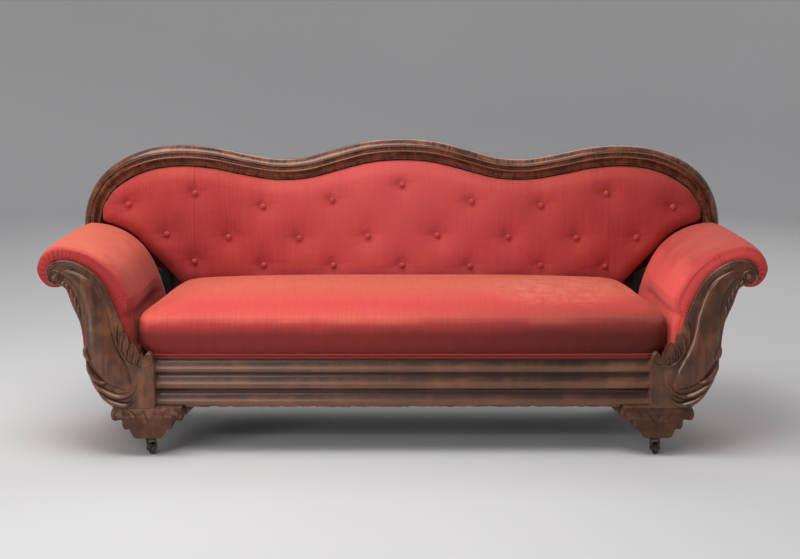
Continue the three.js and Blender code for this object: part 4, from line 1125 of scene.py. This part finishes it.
def make_back():
    pad = soft_copy("back_pad", "tufted_back", 0.009, 8)
    co = coordinates(pad)
    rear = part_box("back_pad")[1].y
    near = np.zeros(len(co), bool)
    for row, x, y, z in button_places:
        near |= np.hypot(co[:, 0] - x, co[:, 2] - z) < button_hold
    swell(pad, near | (co[:, 1] > rear - back_thickness), 5, 0.012)
    co = coordinates(pad)
    drawn_by_buttons(co, co[:, 1] < rear - back_thickness)
    rim = (abs(vertex_normals(pad)[:, 1]) < 0.35) & (co[:, 1] < rear - 0.02)
    finder = finder_of(co[rim][:, (0, 2)])
    to_rim = np.array([finder.find((x, 0, z))[2] for x, y, z in co])
    above_seat = part_of(co[:, 2] - 0.46, 0.08)
    fall = rim_fall * np.clip(1 - to_rim / rim_reach, 0, 1) ** 2 * above_seat
    co[:, 1] += np.minimum(fall, 0.5 * (rear - co[:, 1]))
    at_end = part_of(abs(co[:, 0]) - 0.93, 0.07)
    co[:, 0] += np.sign(co[:, 0]) * end_fill * at_end
    lower_corner = part_of(abs(co[:, 0]) - 0.8, 0.08) * part_of(0.67 - co[:, 2], 0.04)
    under_slant = part_of(0.6 * abs(co[:, 0]) + 0.1 - co[:, 2], 0.05)
    co[:, 2] -= corner_fill * lower_corner * under_slant
    mark_dimple_shade(reshaped(pad, co))
    finished(pad, back_velvet, "velvet", "back_pad", smooth=180)


# Seat
held_height = 0.03
pull_depth = 0.0012
pull_waves = 95
pull_drift = 11
squeeze_foot = 0.312
squeeze_rear = 0.19
squeeze_depth = 0.018
shoulder_drop = 0.006
corner_point = 0.35
corner_level = 0.44


def squeezed(co):
    """How strongly the seat and an arm press on each other at each point."""
    lower = part_of(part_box("seat_pad")[1].z - 0.002 - co[:, 2], 0.05)
    upper = part_of(co[:, 2] - squeeze_foot, 0.03)
    fore = part_of(squeeze_rear - co[:, 1], 0.12)
    return lower * upper * fore * (1 + corner_point * hump(co[:, 2], corner_level, 0.02))


def make_seat():
    pad = soft_copy("seat_pad", "sprung_seat", 0.008, 4)
    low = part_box("seat_pad")[0]
    swell(pad, coordinates(pad)[:, 2] < low.z + held_height, 4, 0.005)
    co = coordinates(pad)
    face = (co[:, 1] < low.y + 0.05) & (co[:, 2] > low.z + 0.02) & (co[:, 2] < low.z + 0.1)
    waves = np.sin(co[:, 0] * pull_waves + 3 * np.sin(co[:, 0] * pull_drift))
    co[:, 1] += np.where(face, pull_depth * waves * hump(co[:, 2], low.z + 0.025, 0.02), 0)
    side = part_of(abs(co[:, 0]) - 0.68, 0.1)
    top = part_of(co[:, 2] - 0.42, 0.04)
    co[:, 0] += np.sign(co[:, 0]) * squeeze_depth * side * squeezed(co)
    co[:, 2] -= shoulder_drop * side * top * part_of(0.1 - co[:, 1], 0.2)
    reshaped(pad, co)
    finished(pad, seat_velvet, "seat_velvet", "seat_pad", smooth=180)


def make_welt(back=0.07, turn=0.045):
    """Two covered cords along the foot of the seat, turned round its front corners."""
    low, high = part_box("seat_welt")
    radius = (high.z - low.z) / 4
    middle = (low.y + high.y) / 2
    corner = [
        (high.x + turn * math.sin(a), middle + turn * (1 - math.cos(a))) for a in np.linspace(0, math.pi / 2, 12)
    ]
    side = corner + [(corner[-1][0] - 0.012, middle + turn + back)]
    line = smooth_line([(-x, y) for x, y in side[::-1]] + side, 240)
    cords = []
    for level in (low.z + radius, low.z + 3 * radius):
        curve = flat_curve("cord", line, False)
        curve.data.bevel_depth = radius
        curve.data.bevel_resolution = 3
        curve.data.use_fill_caps = True
        alone(curve)
        bpy.ops.object.convert(target="MESH")
        curve.location.z = level
        cords.append(merged(settled(curve)))
    finished(joined("double_welt", cords), welt_velvet, "welt_velvet", "seat_welt", smooth=180)


# Arms
roll_centre_share = (0.87, 0.92)
roll_fullness = 0.009
rim_held = 0.006
gather_depth = 0.0004
squeeze_lap = 0.0015
scroll_steps = 1400
end_steps = 80
cell_count = (64, 30)


def scroll_finder():
    """The arm's scroll as a fine line, the length along it, and a finder of its nearest point."""
    line = smooth_line(arm([(0.27, 0.314), (0.285, 0.48), *scroll_edge_shares]), scroll_steps)
    return line, lengths_along(line), finder_of(line)


def blurred(grid, passes=1):
    """A grid softened over its neighbours."""
    for _ in range(passes):
        wide = np.pad(grid, 1, mode="edge")
        grid = (wide[:-2, 1:-1] + wide[2:, 1:-1] + wide[1:-1, :-2] + wide[1:-1, 2:] + 2 * grid) / 6
    return grid


def even_heights(column, row, out, known):
    """Softened mean heights over a grid of the scroll, read back at each point."""
    cell = np.round(column).astype(int), np.round(row).astype(int)
    total, count = np.zeros(cell_count), np.zeros(cell_count)
    np.add.at(total, (cell[0][known], cell[1][known]), out[known])
    np.add.at(count, (cell[0][known], cell[1][known]), 1)
    for _ in range(8):
        empty = count == 0
        spread_total, spread_count = blurred(total), blurred(count)
        total[empty], count[empty] = spread_total[empty], spread_count[empty]
    grid = blurred(total / np.maximum(count, 1e-9), 10)
    low_c, low_r = np.floor(column).astype(int), np.floor(row).astype(int)
    high_c, high_r = np.minimum(low_c + 1, cell_count[0] - 1), np.minimum(low_r + 1, cell_count[1] - 1)
    c, r = column - low_c, row - low_r
    even = (grid[low_c, low_r] * (1 - c) + grid[high_c, low_r] * c) * (1 - r)
    return even + (grid[low_c, high_r] * (1 - c) + grid[high_c, high_r] * c) * r


def evened(pad):
    """Draws the arm's padding evenly over its scroll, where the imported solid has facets."""
    line, along, finder = scroll_finder()
    left = pushed(line, 1) - line
    co = coordinates(pad)
    flat = co[:, (0, 2)]
    nearest = nearest_number(finder, flat)
    out = ((flat - line[nearest]) * left[nearest]).sum(1)
    upright = abs(vertex_normals(pad)[:, 1]) < 0.75
    worn = upright & (out > 0.001) & (nearest > 6) & (nearest < len(line) - 7)
    far = co[:, 1].max()
    column = part_of(along[nearest], along[-1]) * (cell_count[0] - 1)
    row = part_of(co[:, 1] - facing_back, far - facing_back) * (cell_count[1] - 1)
    target = line[nearest] + left[nearest] * even_heights(column, row, out, worn)[:, None]
    behind = part_of(co[:, 1] - facing_back - 0.004, 0.03) * part_of(far - 0.004 - co[:, 1], 0.02)
    ends = part_of(np.minimum(nearest, len(line) - 1 - nearest), end_steps)
    co[:, (0, 2)] += (worn * behind * ends)[:, None] * (target - flat)
    return reshaped(pad, co)


def make_arms():
    pad = evened(soft_copy("arm_pad_right", "arm_roll_right", 0.007, 16, facing_back))
    swell(pad, coordinates(pad)[:, 1] < facing_back + rim_held, 4, 0.008)
    co = coordinates(pad)
    along, finder = scroll_finder()[1:]
    around = along[nearest_number(finder, co[:, (0, 2)])]
    mark(pad, "around", around)
    mark(pad, "inset", co[:, 1] - facing_back)
    gather = gather_depth * np.sin(around * math.pi / pucker_pitch)
    co[:, 2] += gather * hump(co[:, 1], facing_back + rim_held, 2 * rim_held)
    roll = part_of(co[:, 0] - 0.97, 0.08)
    spread = co[:, (0, 2)] - arm(roll_centre_share)[0]
    spread /= np.maximum(np.linalg.norm(spread, axis=1), 0.01)[:, None]
    co[:, (0, 2)] += roll_fullness * (roll * roll)[:, None] * spread
    inner_side = part_of(0.86 - co[:, 0], 0.03)
    co[:, 0] += (squeeze_depth + squeeze_lap) * inner_side * squeezed(co)
    co[:, 1] = np.maximum(co[:, 1], facing_back + 0.0002)
    for side, piece in both_sides(reshaped(pad, co)):
        finished(piece, arm_velvet, "velvet", "arm_pad_" + side, smooth=180)


def make_arm_outsides():
    for side, piece in both_sides(soft_copy("arm_outside_right", "arm_outside_cloth_right", 0.004, 2)):
        finished(piece, outside_velvet, "velvet", "arm_outside_" + side, smooth=180)


# Back and corner cloths
welt_inset = 0.007
welt_radius = 0.0024


def rear_edge(cover, rear):
    """The edge of the cover's rear face, as a ring of X and Z."""
    faces_on = {}
    for face in cover.data.polygons:
        if face.normal.y > 0.9 and abs(face.center.y - rear) < 0.001:
            for key in face.edge_keys:
                faces_on[key] = faces_on.get(key, 0) + 1
    beside = {}
    for (a, b), count in faces_on.items():
        if count == 1:
            beside.setdefault(a, []).append(b)
            beside.setdefault(b, []).append(a)
    first = min(beside)
    loop, here = [first], beside[first][0]
    while here != first:
        loop.append(here)
        here = next(k for k in beside[here] if k != loop[-2])
    return coordinates(cover)[loop + [first]][:, (0, 2)]


def edge_welt(cover):
    """A thin covered cord that is sewn on the outside of the back, just inside its edge."""
    rear = coordinates(cover)[:, 1].max()
    ring = evenly(rear_edge(cover, rear), 700)
    area = (ring[:-1, 0] * ring[1:, 1] - ring[1:, 0] * ring[:-1, 1]).sum()
    cord = flat_curve("outside_back_welt", pushed(ring, math.copysign(welt_inset, area))[:-1], True)
    cord.data.bevel_depth = welt_radius
    cord.data.bevel_resolution = 2
    finished(merged(stood_up(cord, rear + welt_radius / 2)), welt_velvet, "velvet", smooth=180)


def make_back_cover():
    cover = merged(add_object("outside_back", frame["nodes"]["back_cover"].data.copy()), 1e-4)
    edge_welt(cover)
    applied(cover, "BEVEL", width=0.0012, segments=2, limit_method="ANGLE")
    finished(cover, back_cloth, "back_cloth", "back_cover", smooth=40)


def make_corner_shade_linings():
    """Dark cloth that closes the corner between each arm and the back's post, and stands in as painted shade there.
    """
    arm_low, arm_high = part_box("arm_post_rear_right")
    inner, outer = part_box("back_post_right")[1].x - 0.01, arm_low.x + 0.03
    bottom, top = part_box("side_rail_right")[1].z + 0.005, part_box("seat_pad")[1].z
    bpy.ops.object.select_all(action="DESELECT")
    bpy.ops.mesh.primitive_cube_add(size=1)
    shade_lining = bpy.context.object
    shade_lining.name = "corner_lining_right"
    shade_lining.scale = (outer - inner, 0.001, top - bottom)
    shade_lining.location = ((inner + outer) / 2, arm_high.y + 0.002, (bottom + top) / 2)
    settled(shade_lining)
    bpy.ops.object.mode_set(mode="EDIT")
    bpy.ops.mesh.select_all(action="SELECT")
    bpy.ops.mesh.subdivide(number_cuts=12)
    bpy.ops.object.mode_set(mode="OBJECT")
    for side, piece in both_sides(shade_lining):
        finished(piece, cambric, "back_cloth")


def make_rear_corner_cloths(width=0.071, under=0.486, slope=0.54):
    """Cloth that closes the corner behind each arm, under the wide upper part of the outside back."""
    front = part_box("back_cover")[0].y + 0.0003
    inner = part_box("seat_pad")[1].x + 0.003
    outer = inner + width
    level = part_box("side_rail_right")[1].z
    outline = [(inner, level), (outer, level), (outer, under + slope * (outer - inner)), (inner, under)]
    cloth = board("rear_corner_cloth_right", outline, front, front + 0.001, 0.0003)
    for side, piece in both_sides(cloth):
        finished(piece, back_cloth, "back_cloth")


def dress_frame():
    """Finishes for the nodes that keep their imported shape."""
    finishes = {
        "frame_wood": timber, "mahogany": carved_mahogany, "jute": jute, "cambric": cambric,
        "brass": brass, "iron": iron, "caster_wheel": iron,
    }
    slots = {part["node"]: part["material_slot"] for part in frame["record"]["subparts"]}
    for name, node in frame["nodes"].items():
        if slots[name] in finishes:
            node.data.materials.clear()
            node.data.materials.append(finishes[slots[name]])


# Room
lamps = {
    "overhead": ((-0.8, -0.8, 3.1), (-0.15, 0.1, 0.4), (3.2, 1.4), 70),
    "left": ((-3.3, -3.0, 1.15), (0, 0, 0.7), (0.8, 2.2), 44),
    "front": ((-1.5, -4.4, 2.9), (0, 0, 0.4), (2.2, 0.45), 30),
    "behind": ((1.2, 3.6, 4.2), (0, 0, 0.5), (5, 3), 70),
}


def lay_floor():
    """A pale paper floor that curves up to a wall all round."""
    bpy.ops.object.select_all(action="DESELECT")
    bpy.ops.mesh.primitive_circle_add(vertices=96, radius=8, fill_type="NGON")
    floor = bpy.context.object
    floor.name = "studio_floor"
    bpy.ops.object.mode_set(mode="EDIT")
    bpy.ops.mesh.select_mode(type="EDGE")
    bpy.ops.mesh.select_all(action="SELECT")
    bpy.ops.mesh.region_to_loop()
    bpy.ops.mesh.extrude_edges_move(TRANSFORM_OT_translate={"value": (0, 0, 4)})
    bpy.ops.object.mode_set(mode="OBJECT")
    applied(floor, "BEVEL", width=1.8, segments=14)
    smoothed(floor, 60)
    material, tree, shader = new_material("pale_paper", Roughness=0.95, Specular_IOR_Level=0.1)
    tone = speckle(place(tree), 0.8, 2)
    feed(shader.inputs["Base Color"], mixed(tone, (0.7, 0.69, 0.68), (0.74, 0.73, 0.72)))
    floor.data.materials.append(material)


def hang_lamps():
    world = bpy.data.worlds.new("studio")
    bpy.context.scene.world = world
    world.use_nodes = True
    world.node_tree.nodes["Background"].inputs["Color"].default_value = (0.9, 0.92, 1, 1)
    world.node_tree.nodes["Background"].inputs["Strength"].default_value = 0.3
    for name, (lamp_place, target, size, power) in lamps.items():
        lamp = bpy.data.lights.new(name, "AREA")
        lamp.shape = "RECTANGLE"
        lamp.size, lamp.size_y = size
        lamp.energy = power
        holder = add_object(name, lamp)
        holder.location = lamp_place
        holder.rotation_euler = (Vector(target) - Vector(lamp_place)).to_track_quat("-Z", "Y").to_euler()
    bpy.context.scene.view_settings.view_transform = "Standard"


dress_frame()
make_crest()
make_front_rail()
make_facings()
make_feet()
make_back()
make_buttons()
make_seat()
make_welt()
make_arms()
make_arm_outsides()
make_back_cover()
make_corner_shade_linings()
make_rear_corner_cloths()
lay_floor()
hang_lamps()
